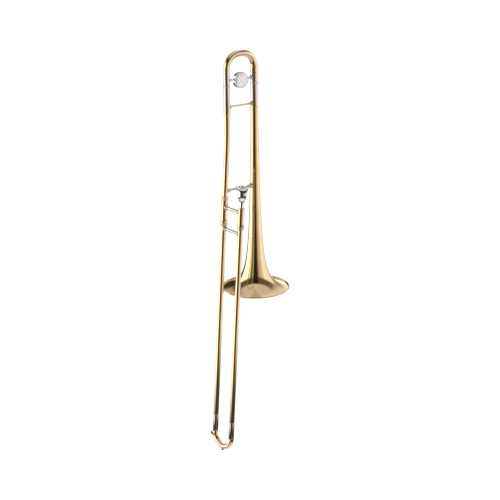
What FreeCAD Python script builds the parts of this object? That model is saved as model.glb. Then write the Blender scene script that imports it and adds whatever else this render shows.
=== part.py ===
# Tenor trombone, hanging bell down. Millimetres, +Z up.
# Origin: centre of the bell's rim plane. The bell axis is Z, the neck leg stands at -X.
# The hand slide leaves the bell section at a small splay and turns towards -Y.
import FreeCAD, Part
import math
import os

V = FreeCAD.Vector

# ---- overall layout -------------------------------------------------------------------------
LEG_SPACING = 96.0          # bell axis to neck leg axis
SLIDE_SPACING = 75.0        # hand slide tube to tube
SLIDE_RIM_GAP = 18.5244     # outer slide tube past the bell rim; sets the splay
SLIDE_TURN_DEG = -86.0      # slide plane against the bell section plane
BEND_DROP = 68.0            # bend of the gooseneck under the bell's tail
BEND_REACH = 49.76          # half length of the gentle bend

# ---- bell -----------------------------------------------------------------------------------
BELL_RIM_R = 101.6
BELL_TAIL_Z = 543.0
BELL_WALL = 0.6
FLARE_OFFSET = 13.0         # flare law: r = rim * ((z + offset) / offset) ** -power
BELL_TAIL_STEP = -0.35      # tail inside the radius of the sleeve above it; wider if negative
BELL_SEAM_Z = 200.0         # brazed seam between the flare and the stem
RIM_BEAD_R = 1.9
RIM_CURL_END_DEG = 194.0
RIM_WIRE_R = 1.1
BELL_STATIONS = (520.0, 470.0, 415.0, 360.0, 305.0, 255.0, 210.0, 170.0, 135.0, 105.0, 80.0,
                 60.0, 45.0, 33.0, 24.0, 17.0, 12.0, 8.0, 5.0, 3.0, 1.4, 0.6)

# ---- tuning slide and its sleeves -----------------------------------------------------------
SOLDER_GAP = 0.03           # between soldered tubes
SLIDE_CLEARANCE = 0.05      # radial, tuning legs in their sleeves
BELL_LEG_R = 9.95           # tuning leg, bell side, outside
NECK_LEG_R = 8.35           # tuning leg, neck side, outside
LEG_WALL = 0.5
SLEEVE_WALL = 0.5
SLEEVE_LENGTH = 77.0
SLEEVE_BEAD = 0.8
SLEEVE_BEAD_LENGTH = 4.0
LEG_SEAT_GAP = 4.0          # leg end above the sleeve's foot
JOIN_RING_LENGTH = 12.0     # ferrules between sleeve and bell or gooseneck
JOIN_RING_WALL = 0.6
COLLAR_GAP = 1.5            # tuning collar above the sleeve top
COLLAR_LENGTH = 25.5
BOW_LIFT = 5.0              # bow's foot above the collar
BOW_STRAIGHT = 12.0         # straight part of the bow above its foot
BOW_FLAT = 12.0             # straight part on top, between the two corners
BOW_STEPS = 15
FERRULE_LENGTH = 20.0
FERRULE_WALL = 0.8
COLLAR_WALL = 0.55

# ---- balance weight -------------------------------------------------------------------------
WEIGHT_LIFT = 14.0          # weight's rod above the sleeves
WEIGHT_R = 22.4
WEIGHT_THICKNESS = 18.0
WEIGHT_DROP = 3.4           # drum's centre below its rod
WEIGHT_EDGE = 1.4
WEIGHT_HALF_GAP = 0.8
WEIGHT_ROD_R = 2.4
WEIGHT_FLANGE_R = 6.2
WEIGHT_FOOT_GAP = 2.07      # cone of the rod's foot to the drum
WEIGHT_SCREW_R = 2.0
WEIGHT_SCREW_HEAD_R = 3.6
WEIGHT_SCREW_OFFSET = 9.0
DETAIL_GAP = 0.05           # play of small screws and pins

# ---- bell section braces --------------------------------------------------------------------
UPPER_BRACE_LIFT = 16.0     # above the bell's tail
UPPER_BRACE_R = 2.4
UPPER_FLANGE_R = 6.3
UPPER_FLANGE_LENGTH = 11.0
LOWER_BRACE_LIFT = 29.0     # above the gooseneck's foot
LOWER_BRACE_R = 3.3
LOWER_BRACE_WALL = 0.7
LOWER_FLANGE_R = 7.2
LOWER_FLANGE_LENGTH = 14.0
LOWER_SOCKET_DEPTH = 8.0
SOCKET_WALL = 1.0
FLANGE_PLATE = 1.4

# ---- gooseneck, tenon, lock nut -------------------------------------------------------------
GOOSENECK_STEP = 0.15       # gooseneck top inside the radius of the sleeve above it
TENON_SOCKET_WALL = 0.79    # tenon round the gooseneck
GOOSENECK_WALL = 0.55
GOOSENECK_SEAT = 8.0        # gooseneck below the receiver's top
RECEIVER_MOUTH_WALL = 0.42  # receiver round the tenon
TENON_TAPER = 0.4           # radius lost down the cone
TENON_LENGTH = 28.0
TENON_FLANGE_STEP = 0.2     # flange inside the thread's radius
TENON_FLANGE = 2.4
TENON_CLEARANCE = 0.04
TENON_WALL = 1.2
NUT_WALL = 0.9
NUT_LIFT = 12.0              # nut's foot above the barrel
NUT_LIP = 2.1
NUT_CLEARANCE = 0.1
NUT_GROOVES = 24
NUT_GROOVE_R = 0.7

# ---- inner slide ----------------------------------------------------------------------------
RECEIVER_HEIGHT = 17.0      # receiver above the barrel
THREAD_WALL = 0.74
RECEIVER_NECK_WALL = 0.3    # neck between the collar and the thread, past the barrel seat
RECEIVER_COLLAR_HEIGHT = 2.7
THREAD_LIFT = 10.0
BARREL_TOP_S = 279.0
BARREL_LENGTH = 57.5
BARREL_GAP = 0.445          # barrel round the outer slide's end ring
BARREL_WALL = 0.7
RECEIVER_COLLAR = 0.6       # collar past the barrel
RECEIVER_SEAT = 31.0        # receiver inside the barrel
TUBE_SEAT = 14.0            # inner tube's length in its receiver
INNER_TUBE_R = 6.75
INNER_TUBE_WALL = 0.4
STOCKING_LENGTH = 125.0
STOCKING_WALL = 0.215
LEADPIPE_FOOT_S = 60.0
LEADPIPE_WALL = 0.35
LEADPIPE_CLEARANCE = 0.04
CORK_LENGTH = 4.0
BARREL_RING_WALL = 1.27
BARREL_RING_LENGTH = 10.0
MOUTH_RECEIVER_HEIGHT = 4.5
MOUTH_RECEIVER_STEP = 0.44  # past the radius of its seat in the barrel
SLIDE_BRACE_R = 4.4
SLIDE_BRACE_WALL = 0.8
SLIDE_FLANGE_R = 8.0
SLIDE_FLANGE_LENGTH = 6.5
INNER_BRACE_DROP = 10.0     # below the barrel's top
OUTER_BRACE_DROP = 15.9     # below the barrel's foot

# ---- slide lock -----------------------------------------------------------------------------
LOCK_WALL = 2.05
LOCK_RISE = 8.0             # above the barrel's foot
LOCK_HANG = 7.0             # below the barrel's foot
LOCK_LIP = 2.8
LOCK_LIP_GAP = 0.495        # lip round the end ring's sleeve
LOCK_RECESS = 0.6           # recess past the barrel's radius
LOCK_CLEARANCE = 0.05
LOCK_SLOT_HALF_DEG = 15.0
LOCK_NUB_R = 1.7
LOCK_NUB_REACH = 1.6
LOCK_NUB_DEG = 225.0
STUD_WIDTH = 3.0
STUD_DEG = 45.0
STUD_HEIGHT = 3.0

# ---- outer slide ----------------------------------------------------------------------------
INNER_END_GAP = 9.0         # inner tubes end above the foot of the outer ones
OUTER_WALL = 0.4
OUTER_TOP_GAP = 0.3         # outer tube top under the cork ring
END_RING_LENGTH = 10.0
END_RING_WALL = 0.3
END_SLEEVE_WALL = 0.4
OUTER_FOOT_S = -431.5
SLIDE_BOW_WALL = 0.775
OVERSLEEVE_LENGTH = 54.0
OVERSLEEVE_WALL = 0.6
BUMPER_R = 4.3
BUMPER_LENGTH = 5.4
BUMPER_SOCKET_R = 5.2
BUMPER_SOCKET_LENGTH = 1.6
BUMPER_SEAT = 1.2

# ---- water key ------------------------------------------------------------------------------
KEY_DROP = 13.0              # below the foot of the outer tubes
KEY_HINGE_STAND = 4.5       # hinge off the bow's surface
KEY_HINGE_DEG = 215.0
KEY_HINGE_LENGTH = 10.0
KEY_HINGE_R = 2.0
KEY_SCREW_R = 0.9
KEY_SCREW_HEAD_R = 1.9
KEY_SCREW_HEAD = 1.5
KEY_POST = 2.2
KEY_POST_HALF_WIDTH = 2.2
KEY_SIDE_PLAY = 0.1
KEY_NIPPLE_R = 2.9
KEY_DRAIN_R = 1.4
KEY_NIPPLE_STAND = 3.2      # nipple off the bow's surface
KEY_PAD_R = 3.2
KEY_PAD = 1.6
KEY_CUP_R = 4.1
KEY_CUP = 1.4
KEY_ARM = 1.6
KEY_ARM_HALF_WIDTH = 2.3
KEY_TOUCH_REACH = 9.0
KEY_TOUCH_R = 4.2
KEY_SPRING_WIRE_R = 0.4

# ---- mouthpiece -----------------------------------------------------------------------------
MOUTH_HEIGHT = 61.0         # rim above the receiver
MOUTH_RIM_R = 18.3
MOUTH_CUP_R = 12.7
MOUTH_CUP_DEPTH = 24.0
MOUTH_THROAT_R = 3.3
LEADPIPE_MOUTH_WALL = 0.685 # leadpipe round the tip of the shank
MOUTH_SHANK_TAPER = 0.025   # radius per length
MOUTH_SEAT = 29.0
MOUTH_CLEARANCE = 0.04

# ---- derived: tubes that slide or seat in one another ------------------------------------------
BELL_SLEEVE_BORE_R = BELL_LEG_R + SLIDE_CLEARANCE
NECK_SLEEVE_BORE_R = NECK_LEG_R + SLIDE_CLEARANCE
BELL_SLEEVE_R = BELL_SLEEVE_BORE_R + SLEEVE_WALL
NECK_SLEEVE_R = NECK_SLEEVE_BORE_R + SLEEVE_WALL
GOOSENECK_TOP_R = NECK_SLEEVE_R - GOOSENECK_STEP
INNER_TUBE_BORE_R = INNER_TUBE_R - INNER_TUBE_WALL
OUTER_BORE_R = INNER_TUBE_R + SOLDER_GAP / 3 + STOCKING_WALL + SLIDE_CLEARANCE
OUTER_R = OUTER_BORE_R + OUTER_WALL
END_SLEEVE_R = OUTER_R + SOLDER_GAP + END_SLEEVE_WALL
END_RING_R = END_SLEEVE_R + END_RING_WALL
BARREL_BORE_R = END_RING_R + BARREL_GAP
BARREL_R = BARREL_BORE_R + BARREL_WALL
BARREL_RING_R = BARREL_R + SOLDER_GAP + BARREL_RING_WALL
RECEIVER_R = BARREL_BORE_R - TENON_CLEARANCE
RECEIVER_COLLAR_R = BARREL_R + RECEIVER_COLLAR
THREAD_R = RECEIVER_R + THREAD_WALL
TENON_TOP_R = RECEIVER_R - RECEIVER_MOUTH_WALL - TENON_CLEARANCE
TENON_FOOT_R = TENON_TOP_R - TENON_TAPER
TENON_FLANGE_R = THREAD_R - TENON_FLANGE_STEP
NECK_BORE_R = TENON_FOOT_R - TENON_WALL
TENON_SOCKET_GAP = SOLDER_GAP + 0.08
GOOSENECK_FOOT_R = TENON_TOP_R - TENON_SOCKET_WALL - TENON_SOCKET_GAP
NUT_R = THREAD_R + NUT_CLEARANCE + NUT_WALL
MOUTH_RECEIVER_R = RECEIVER_R + MOUTH_RECEIVER_STEP
MOUTH_SHANK_R = (INNER_TUBE_BORE_R - LEADPIPE_CLEARANCE - LEADPIPE_MOUTH_WALL
                 + MOUTH_SHANK_TAPER * MOUTH_SEAT)
LOCK_R = BARREL_R + LOCK_CLEARANCE + LOCK_WALL
LOCK_RECESS_R = BARREL_R + LOCK_RECESS
LOCK_LIP_BORE_R = END_SLEEVE_R + LOCK_LIP_GAP
SLIDE_BOW_R = OUTER_BORE_R + SLIDE_BOW_WALL
OVERSLEEVE_BORE_R = OUTER_R + SOLDER_GAP
OVERSLEEVE_R = OVERSLEEVE_BORE_R + OVERSLEEVE_WALL
KEY_HINGE_REACH = SLIDE_BOW_R + KEY_HINGE_STAND
KEY_NIPPLE_REACH = SLIDE_BOW_R + KEY_NIPPLE_STAND

# ---- derived: heights -----------------------------------------------------------------------
SLEEVE_TOP_Z = BELL_TAIL_Z + SLEEVE_LENGTH
COLLAR_TOP_Z = SLEEVE_TOP_Z + COLLAR_GAP + COLLAR_LENGTH
BOW_FOOT_Z = COLLAR_TOP_Z + BOW_LIFT
BOW_TANGENT_Z = BOW_FOOT_Z + BOW_STRAIGHT
FERRULE_TOP_Z = COLLAR_TOP_Z + FERRULE_LENGTH
WEIGHT_Z = SLEEVE_TOP_Z + WEIGHT_LIFT
UPPER_BRACE_Z = BELL_TAIL_Z + UPPER_BRACE_LIFT
LEG_FOOT_Z = BELL_TAIL_Z + LEG_SEAT_GAP
BEND_Z = BELL_TAIL_Z - BEND_DROP
BARREL_FOOT_S = BARREL_TOP_S - BARREL_LENGTH
RECEIVER_TOP_S = BARREL_TOP_S + RECEIVER_HEIGHT
RECEIVER_FOOT_S = BARREL_TOP_S - RECEIVER_SEAT
THREAD_FOOT_S = BARREL_TOP_S + THREAD_LIFT
TENON_FOOT_S = RECEIVER_TOP_S - TENON_LENGTH
GOOSENECK_FOOT_S = RECEIVER_TOP_S - GOOSENECK_SEAT
LOWER_BRACE_Z = GOOSENECK_FOOT_S + LOWER_BRACE_LIFT
NUT_FOOT_S = BARREL_TOP_S + NUT_LIFT
MOUTH_RECEIVER_TOP_S = BARREL_TOP_S + MOUTH_RECEIVER_HEIGHT
MOUTH_RIM_S = MOUTH_RECEIVER_TOP_S + MOUTH_HEIGHT
INNER_BRACE_S = BARREL_TOP_S - INNER_BRACE_DROP
OUTER_BRACE_S = BARREL_FOOT_S - OUTER_BRACE_DROP
LOCK_TOP_S = BARREL_FOOT_S + LOCK_RISE
LOCK_FOOT_S = BARREL_FOOT_S - LOCK_HANG
INNER_TOP_S = RECEIVER_FOOT_S + TUBE_SEAT
OUTER_TOP_S = RECEIVER_FOOT_S - CORK_LENGTH - OUTER_TOP_GAP
INNER_END_S = OUTER_FOOT_S + INNER_END_GAP
KEY_S = OUTER_FOOT_S - KEY_DROP

# ---- derived: layout ------------------------------------------------------------------------
NECK_X = -LEG_SPACING
BOW_CORNER_R = (LEG_SPACING - BOW_FLAT) / 2
WEIGHT_FLANGE_LENGTH = (LEG_SPACING / 2 - BELL_LEG_R - SOLDER_GAP - COLLAR_WALL - WEIGHT_R
                        - WEIGHT_FOOT_GAP)
SPLAY = math.atan((BELL_RIM_R + SLIDE_RIM_GAP + OUTER_R - LEG_SPACING) / BEND_Z)
BEND_RADIUS = BEND_REACH / math.tan(SPLAY / 2)
UP = V(math.sin(SPLAY), 0, math.cos(SPLAY))
SLIDE_BOW_CENTRE = V(SLIDE_SPACING / 2, 0, OUTER_FOOT_S)
KEY_HINGE_X = KEY_HINGE_REACH * math.cos(math.radians(KEY_HINGE_DEG))
KEY_HINGE_Y = KEY_HINGE_REACH * math.sin(math.radians(KEY_HINGE_DEG))


def flare_power():
    """Power that brings the flare from the rim to the sleeve at the bell's tail."""
    tail = BELL_SLEEVE_R - BELL_TAIL_STEP - BELL_WALL
    span = math.log((BELL_TAIL_Z + FLARE_OFFSET) / FLARE_OFFSET)
    power = 0.6
    for _ in range(20):
        slope = math.atan(FLARE_OFFSET / (power * (BELL_RIM_R - RIM_BEAD_R)))
        power = math.log((BELL_RIM_R - RIM_BEAD_R + RIM_BEAD_R * math.sin(slope)) / tail) / span
    return power


FLARE_POWER = flare_power()


def slide_placement():
    """Frame of the hand slide: Z up its bell-side tube, X to the mouthpiece-side tube."""
    turn = math.radians(SLIDE_TURN_DEG)
    across = V(math.cos(turn), math.sin(turn), 0)
    across = (across - UP * across.dot(UP)).normalize()
    side = UP.cross(across)
    base = V(NECK_X, 0, BEND_Z) - UP * BEND_Z
    return FreeCAD.Placement(FreeCAD.Matrix(
        across.x, side.x, UP.x, base.x, across.y, side.y, UP.y, base.y,
        across.z, side.z, UP.z, base.z, 0, 0, 0, 1))


SLIDE_FRAME = slide_placement()


# ---- shape helpers --------------------------------------------------------------------------
def turned(points, x=0.0, y=0.0):
    """Closed (radius, height) outline turned about a vertical axis."""
    corners = [V(x + r, y, z) for r, z in points]
    face = Part.Face(Part.makePolygon(corners + corners[:1]))
    return face.revolve(V(x, y, 0), V(0, 0, 1), 360)


def turned_across(points, z, y=0.0):
    """Closed (x, radius) outline turned about a horizontal axis along X."""
    corners = [V(x, y, z + r) for x, r in points]
    face = Part.Face(Part.makePolygon(corners + corners[:1]))
    return face.revolve(V(0, y, z), V(1, 0, 0), 360)


def tube(r_out, r_in, z0, z1, x=0.0):
    return turned([(r_in, z0), (r_out, z0), (r_out, z1), (r_in, z1)], x)


def rod(radius, z0, z1, x=0.0, y=0.0):
    return Part.makeCylinder(radius, z1 - z0, V(x, y, z0))


def bar(p, q, thickness, z0, z1):
    """Flat bar standing on edge from p to q, both (x, y)."""
    length = math.hypot(q[0] - p[0], q[1] - p[1])
    box = Part.makeBox(length, thickness, z1 - z0, V(0, -thickness / 2, z0))
    turn = FreeCAD.Rotation(V(0, 0, 1), math.degrees(math.atan2(q[1] - p[1], q[0] - p[0])))
    box.Placement = FreeCAD.Placement(V(p[0], p[1], 0), turn)
    return box


def lofted(stations):
    """Solid through circles; a station is (x, z, lean in degrees from +Z towards +X, radius)."""
    wires = []
    for x, z, lean, radius in stations:
        circle = Part.makeCircle(radius)
        circle.Placement = FreeCAD.Placement(V(x, 0, z), FreeCAD.Rotation(V(0, 1, 0), lean))
        wires.append(Part.Wire(circle))
    return Part.makeLoft(wires, True, True)


def grown(stations, extra):
    return [(x, z, lean, radius + extra) for x, z, lean, radius in stations]


def hollow(stations, wall):
    return lofted(stations).cut(lofted(grown(stations, -wall)))


# ---- bell -----------------------------------------------------------------------------------
def bell_edge_slope():
    """Angle of the flare at the rim, above the rim plane."""
    return math.atan(FLARE_OFFSET / (FLARE_POWER * (BELL_RIM_R - RIM_BEAD_R)))


def flare_radius(z):
    start = BELL_RIM_R - RIM_BEAD_R + RIM_BEAD_R * math.sin(bell_edge_slope())
    return start * ((z + FLARE_OFFSET) / FLARE_OFFSET) ** -FLARE_POWER


def bell_points(offset):
    """Flare outline from tail to rim, moved outwards along its normal."""
    slope = bell_edge_slope()
    rim = V(BELL_RIM_R - RIM_BEAD_R + (RIM_BEAD_R - offset) * math.sin(slope), 0,
            RIM_BEAD_R - (RIM_BEAD_R - offset) * math.cos(slope))
    points = [V(flare_radius(BELL_TAIL_Z) + offset, 0, BELL_TAIL_Z)]
    for z in (z for z in BELL_STATIONS if z < BELL_TAIL_Z - 15):
        lean = math.atan(FLARE_POWER * flare_radius(z) / (z + FLARE_OFFSET))
        points.append(V(flare_radius(z) + offset * math.cos(lean), 0, z + offset * math.sin(lean)))
    return points + [rim]


def spline(points):
    curve = Part.BSplineCurve()
    curve.interpolate(points)
    return curve.toShape()


def bead_point(radius, degrees):
    angle = math.radians(degrees)
    return V(BELL_RIM_R - RIM_BEAD_R + radius * math.cos(angle), 0,
             RIM_BEAD_R + radius * math.sin(angle))


def bell_shell():
    """Spun shell of the whole bell with the rim rolled outwards."""
    inner, outer = bell_points(0.0), bell_points(BELL_WALL)
    slope = math.degrees(bell_edge_slope())
    curl_r = RIM_BEAD_R - BELL_WALL
    outside = Part.Arc(inner[-1], bead_point(RIM_BEAD_R, 50), bead_point(RIM_BEAD_R, RIM_CURL_END_DEG))
    inside = Part.Arc(bead_point(curl_r, RIM_CURL_END_DEG), bead_point(curl_r, 50), outer[-1])
    lip = Part.makeLine(bead_point(RIM_BEAD_R, RIM_CURL_END_DEG), bead_point(curl_r, RIM_CURL_END_DEG))
    edges = [spline(inner), outside.toShape(), lip, inside.toShape(), spline(outer[::-1]),
             Part.makeLine(outer[0], inner[0])]
    return Part.Face(Part.Wire(edges)).revolve(V(0, 0, 0), V(0, 0, 1), 360)


def make_bell_flare(shell):
    return shell.common(rod(BELL_RIM_R + 5, -5, BELL_SEAM_Z - SOLDER_GAP / 2))


def make_bell_stem(shell):
    return shell.common(rod(BELL_RIM_R, BELL_SEAM_Z + SOLDER_GAP / 2, BELL_TAIL_Z + 5))


def bell_envelope(gap):
    """Filled bell, for the feet that are shaped to it."""
    points = [point for point in bell_points(BELL_WALL + gap) if point.z > 30]
    edges = [spline(points), Part.makeLine(points[-1], V(0, 0, points[-1].z)),
             Part.makeLine(V(0, 0, points[-1].z), V(0, 0, BELL_TAIL_Z)),
             Part.makeLine(V(0, 0, BELL_TAIL_Z), points[0])]
    return Part.Face(Part.Wire(edges)).revolve(V(0, 0, 0), V(0, 0, 1), 360)


def join_ring_foot_r():
    """Bell's outside where the ferrule's foot ends, the widest place under it."""
    return flare_radius(BELL_TAIL_Z - JOIN_RING_LENGTH / 2) + BELL_WALL


def make_bell_rim_wire():
    return Part.makeTorus(BELL_RIM_R - RIM_BEAD_R, RIM_WIRE_R, V(0, 0, RIM_BEAD_R))


# ---- gooseneck ------------------------------------------------------------------------------
def neck_point(s):
    """Point on the slide axis at height s along it."""
    return V(NECK_X, 0, BEND_Z) + UP * (s - BEND_Z)


def gooseneck_stations():
    total = BELL_TAIL_Z - GOOSENECK_FOOT_S

    def radius(z):
        return GOOSENECK_FOOT_R + (GOOSENECK_TOP_R - GOOSENECK_FOOT_R) * (z - GOOSENECK_FOOT_S) / total

    stations = []
    foot = neck_point(GOOSENECK_FOOT_S)
    stations.append((foot.x, foot.z, math.degrees(SPLAY), radius(GOOSENECK_FOOT_S)))
    for part in range(7):
        angle = SPLAY * (1 - part / 6.0)
        x = NECK_X - BEND_RADIUS * (1 - math.cos(angle))
        z = BEND_Z + BEND_REACH - BEND_RADIUS * math.sin(angle)
        stations.append((x, z, math.degrees(angle), radius(z)))
    stations.append((NECK_X, BELL_TAIL_Z, 0.0, radius(BELL_TAIL_Z)))
    return stations


def make_gooseneck():
    return hollow(gooseneck_stations(), GOOSENECK_WALL)


def make_neck_tenon():
    top = RECEIVER_TOP_S
    flange_foot = top + 0.2
    socket_r = GOOSENECK_FOOT_R + TENON_SOCKET_GAP
    bore = NECK_BORE_R
    return turned([
        (bore, TENON_FOOT_S), (TENON_FOOT_R, TENON_FOOT_S), (TENON_TOP_R, flange_foot),
        (TENON_FLANGE_R, flange_foot), (TENON_FLANGE_R, flange_foot + TENON_FLANGE),
        (socket_r, flange_foot + TENON_FLANGE), (socket_r, GOOSENECK_FOOT_S - SOLDER_GAP),
        (bore, GOOSENECK_FOOT_S - SOLDER_GAP)])


def make_bell_lock_nut():
    lip_foot = RECEIVER_TOP_S + 0.2 + TENON_FLANGE + 0.3
    top = lip_foot + NUT_LIP
    bore = THREAD_R + NUT_CLEARANCE
    lip_bore = GOOSENECK_FOOT_R + 0.5
    nut = turned([
        (bore, NUT_FOOT_S), (NUT_R - 0.5, NUT_FOOT_S), (NUT_R, NUT_FOOT_S + 0.5), (NUT_R, top - 0.9),
        (NUT_R - 0.9, top), (lip_bore, top), (lip_bore, lip_foot), (bore, lip_foot)])
    for index in range(NUT_GROOVES):
        angle = 2 * math.pi * index / NUT_GROOVES
        nut = nut.cut(rod(NUT_GROOVE_R, NUT_FOOT_S + 2, top - 2,
                          (NUT_R + 0.3) * math.cos(angle), (NUT_R + 0.3) * math.sin(angle)))
    return nut


# ---- sleeves and tuning slide ---------------------------------------------------------------
def make_sleeve(bore, x):
    r_out = bore + SLEEVE_WALL
    bead_r = r_out + SLEEVE_BEAD
    neck = SLEEVE_TOP_Z - SLEEVE_BEAD_LENGTH
    return turned([(bore, BELL_TAIL_Z), (r_out, BELL_TAIL_Z), (r_out, neck), (bead_r, neck + 0.6),
                   (bead_r, SLEEVE_TOP_Z - 0.6), (bead_r - 0.6, SLEEVE_TOP_Z), (bore, SLEEVE_TOP_Z)], x)


def make_join_ring(r_above, r_below, x):
    """Ferrule over a seam; the tube above and the tube below may differ."""
    z0, z1 = BELL_TAIL_Z - JOIN_RING_LENGTH / 2, BELL_TAIL_Z + JOIN_RING_LENGTH / 2
    upper, lower = r_above + SOLDER_GAP, r_below + SOLDER_GAP
    r_out = max(upper, lower) + JOIN_RING_WALL
    return turned([(lower, z0), (r_out - 0.4, z0), (r_out, z0 + 0.6), (r_out, z1 - 0.6),
                   (r_out - 0.4, z1), (upper, z1), (upper, BELL_TAIL_Z), (lower, BELL_TAIL_Z)], x)


def bow_stations():
    """Neck side up, over the top and down the bell side, widening all the way."""
    flat = LEG_SPACING - 2 * BOW_CORNER_R
    length = 2 * (BOW_TANGENT_Z - BOW_FOOT_Z) + math.pi * BOW_CORNER_R + flat
    path = [(NECK_X, BOW_FOOT_Z, 0.0, 0.0)]
    run = BOW_TANGENT_Z - BOW_FOOT_Z
    for step in range(BOW_STEPS + 1):
        angle = math.pi / 2 * step / BOW_STEPS
        path.append((NECK_X + BOW_CORNER_R * (1 - math.cos(angle)),
                     BOW_TANGENT_Z + BOW_CORNER_R * math.sin(angle), math.degrees(angle),
                     run + BOW_CORNER_R * angle))
    run += BOW_CORNER_R * math.pi / 2 + flat
    for step in range(BOW_STEPS + 1):
        angle = math.pi / 2 * step / BOW_STEPS
        path.append((-BOW_CORNER_R * (1 - math.sin(angle)),
                     BOW_TANGENT_Z + BOW_CORNER_R * math.cos(angle), 90 + math.degrees(angle),
                     run + BOW_CORNER_R * angle))
    path.append((0.0, BOW_FOOT_Z, 180.0, length))
    return [(x, z, lean, NECK_LEG_R + (BELL_LEG_R - NECK_LEG_R) * along / length)
            for x, z, lean, along in path]


def make_tuning_bow():
    return hollow(bow_stations(), LEG_WALL)


def make_tuning_ferrule(r_leg, x):
    bore = r_leg + 0.15
    r_out = bore + FERRULE_WALL
    return turned([(bore, COLLAR_TOP_Z + 0.2), (r_out, COLLAR_TOP_Z + 0.2), (r_out, FERRULE_TOP_Z - 1.2),
                   (r_out - 0.5, FERRULE_TOP_Z), (bore, FERRULE_TOP_Z)], x).cut(
        lofted(grown(bow_stations(), SOLDER_GAP)))


def make_tuning_leg(r_leg, x):
    return tube(r_leg, r_leg - LEG_WALL, LEG_FOOT_Z, BOW_FOOT_Z, x)


def make_tuning_collar(r_leg, x):
    return tube(r_leg + SOLDER_GAP + COLLAR_WALL, r_leg + SOLDER_GAP, SLEEVE_TOP_Z + COLLAR_GAP,
                COLLAR_TOP_Z, x)


def flanged_rod(x0, r0, x1, r1, z, radius, flange_r, flange_length):
    """Turned cross rod whose flared ends are shaped to the tubes at x0 and x1."""
    a, b = x0 + r0, x1 - r1
    outline = [(x0, 0), (x0, flange_r), (a + 1.2, flange_r), (a + 2.4, flange_r * 0.72),
               (a + flange_length, radius), (b - flange_length, radius),
               (b - 2.4, flange_r * 0.72), (b - 1.2, flange_r), (x1, flange_r), (x1, 0)]
    shape = turned_across(outline, z)
    reach = flange_r + 5
    for x, r in ((x0, r0), (x1, r1)):
        shape = shape.cut(rod(r + SOLDER_GAP, z - reach, z + reach, x))
    parts = [s for s in shape.Solids if s.isInside(V((x0 + x1) / 2, 0, z), 1e-3, True)]
    return parts[0]


def make_weight_rod():
    wall = SOLDER_GAP + COLLAR_WALL
    return flanged_rod(NECK_X, NECK_LEG_R + wall, 0.0, BELL_LEG_R + wall, WEIGHT_Z, WEIGHT_ROD_R,
                       WEIGHT_FLANGE_R, WEIGHT_FLANGE_LENGTH)


def weight_half(front):
    """Half of the drum, split in the plane of the rod; screws pull the halves together."""
    rod_middle = V(-LEG_SPACING / 2, 0, WEIGHT_Z)
    middle = rod_middle - V(0, 0, WEIGHT_DROP)
    inner, outer = WEIGHT_HALF_GAP / 2, WEIGHT_THICKNESS / 2
    outline = [V(0, inner, 0), V(WEIGHT_R, inner, 0), V(WEIGHT_R, outer - WEIGHT_EDGE, 0),
               V(WEIGHT_R - WEIGHT_EDGE, outer, 0), V(0, outer, 0)]
    half = Part.Face(Part.makePolygon(outline + outline[:1])).revolve(V(0, 0, 0), V(0, 1, 0), 360)
    if front:
        half = half.mirror(V(0, 0, 0), V(0, 1, 0))
    half.translate(middle)
    half = half.cut(Part.makeCylinder(WEIGHT_ROD_R + DETAIL_GAP, 2 * WEIGHT_R + 4,
                                      rod_middle - V(WEIGHT_R + 2, 0, 0), V(1, 0, 0)))
    return half


def screw_axis_point():
    return V(-LEG_SPACING / 2, 0, WEIGHT_Z - WEIGHT_SCREW_OFFSET)


def make_weight_front():
    depth = WEIGHT_THICKNESS / 2 - 3.0
    hole = Part.makeCylinder(WEIGHT_SCREW_R + DETAIL_GAP, depth + 1, screw_axis_point() + V(0, 1, 0),
                             V(0, -1, 0))
    return weight_half(True).cut(hole)


def make_weight_back():
    p, face = screw_axis_point(), WEIGHT_THICKNESS / 2
    hole = Part.makeCylinder(WEIGHT_SCREW_R + DETAIL_GAP, face + 2, p - V(0, 1, 0), V(0, 1, 0))
    sink = Part.makeCylinder(WEIGHT_SCREW_HEAD_R + DETAIL_GAP, 4, p + V(0, face - 2.5, 0), V(0, 1, 0))
    return weight_half(False).cut(hole).cut(sink)


def make_weight_screw():
    p, face = screw_axis_point(), WEIGHT_THICKNESS / 2
    seat = face - 2.5 + DETAIL_GAP
    shank = Part.makeCylinder(WEIGHT_SCREW_R, seat + face - 3.5, p + V(0, 3.5 - face, 0), V(0, 1, 0))
    head = Part.makeCylinder(WEIGHT_SCREW_HEAD_R, 2.2, p + V(0, seat, 0), V(0, 1, 0))
    slot = Part.makeBox(9, 2, 0.9, p + V(-4.5, seat + 1.3, -0.45))
    return shank.fuse(head).cut(slot).removeSplitter()


# ---- bell section braces --------------------------------------------------------------------
def make_upper_brace():
    return flanged_rod(NECK_X, NECK_SLEEVE_R, 0.0, BELL_SLEEVE_R, UPPER_BRACE_Z, UPPER_BRACE_R,
                       UPPER_FLANGE_R, UPPER_FLANGE_LENGTH)


def lower_brace_ends():
    """X of the bell's and the gooseneck's surface on the brace axis."""
    neck = neck_point(BEND_Z + (LOWER_BRACE_Z - BEND_Z) / math.cos(SPLAY))
    share = (LOWER_BRACE_Z - GOOSENECK_FOOT_S) / (BELL_TAIL_Z - GOOSENECK_FOOT_S)
    r_neck = GOOSENECK_FOOT_R + (GOOSENECK_TOP_R - GOOSENECK_FOOT_R) * share
    return neck.x + r_neck, -flare_radius(LOWER_BRACE_Z) - BELL_WALL


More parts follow.
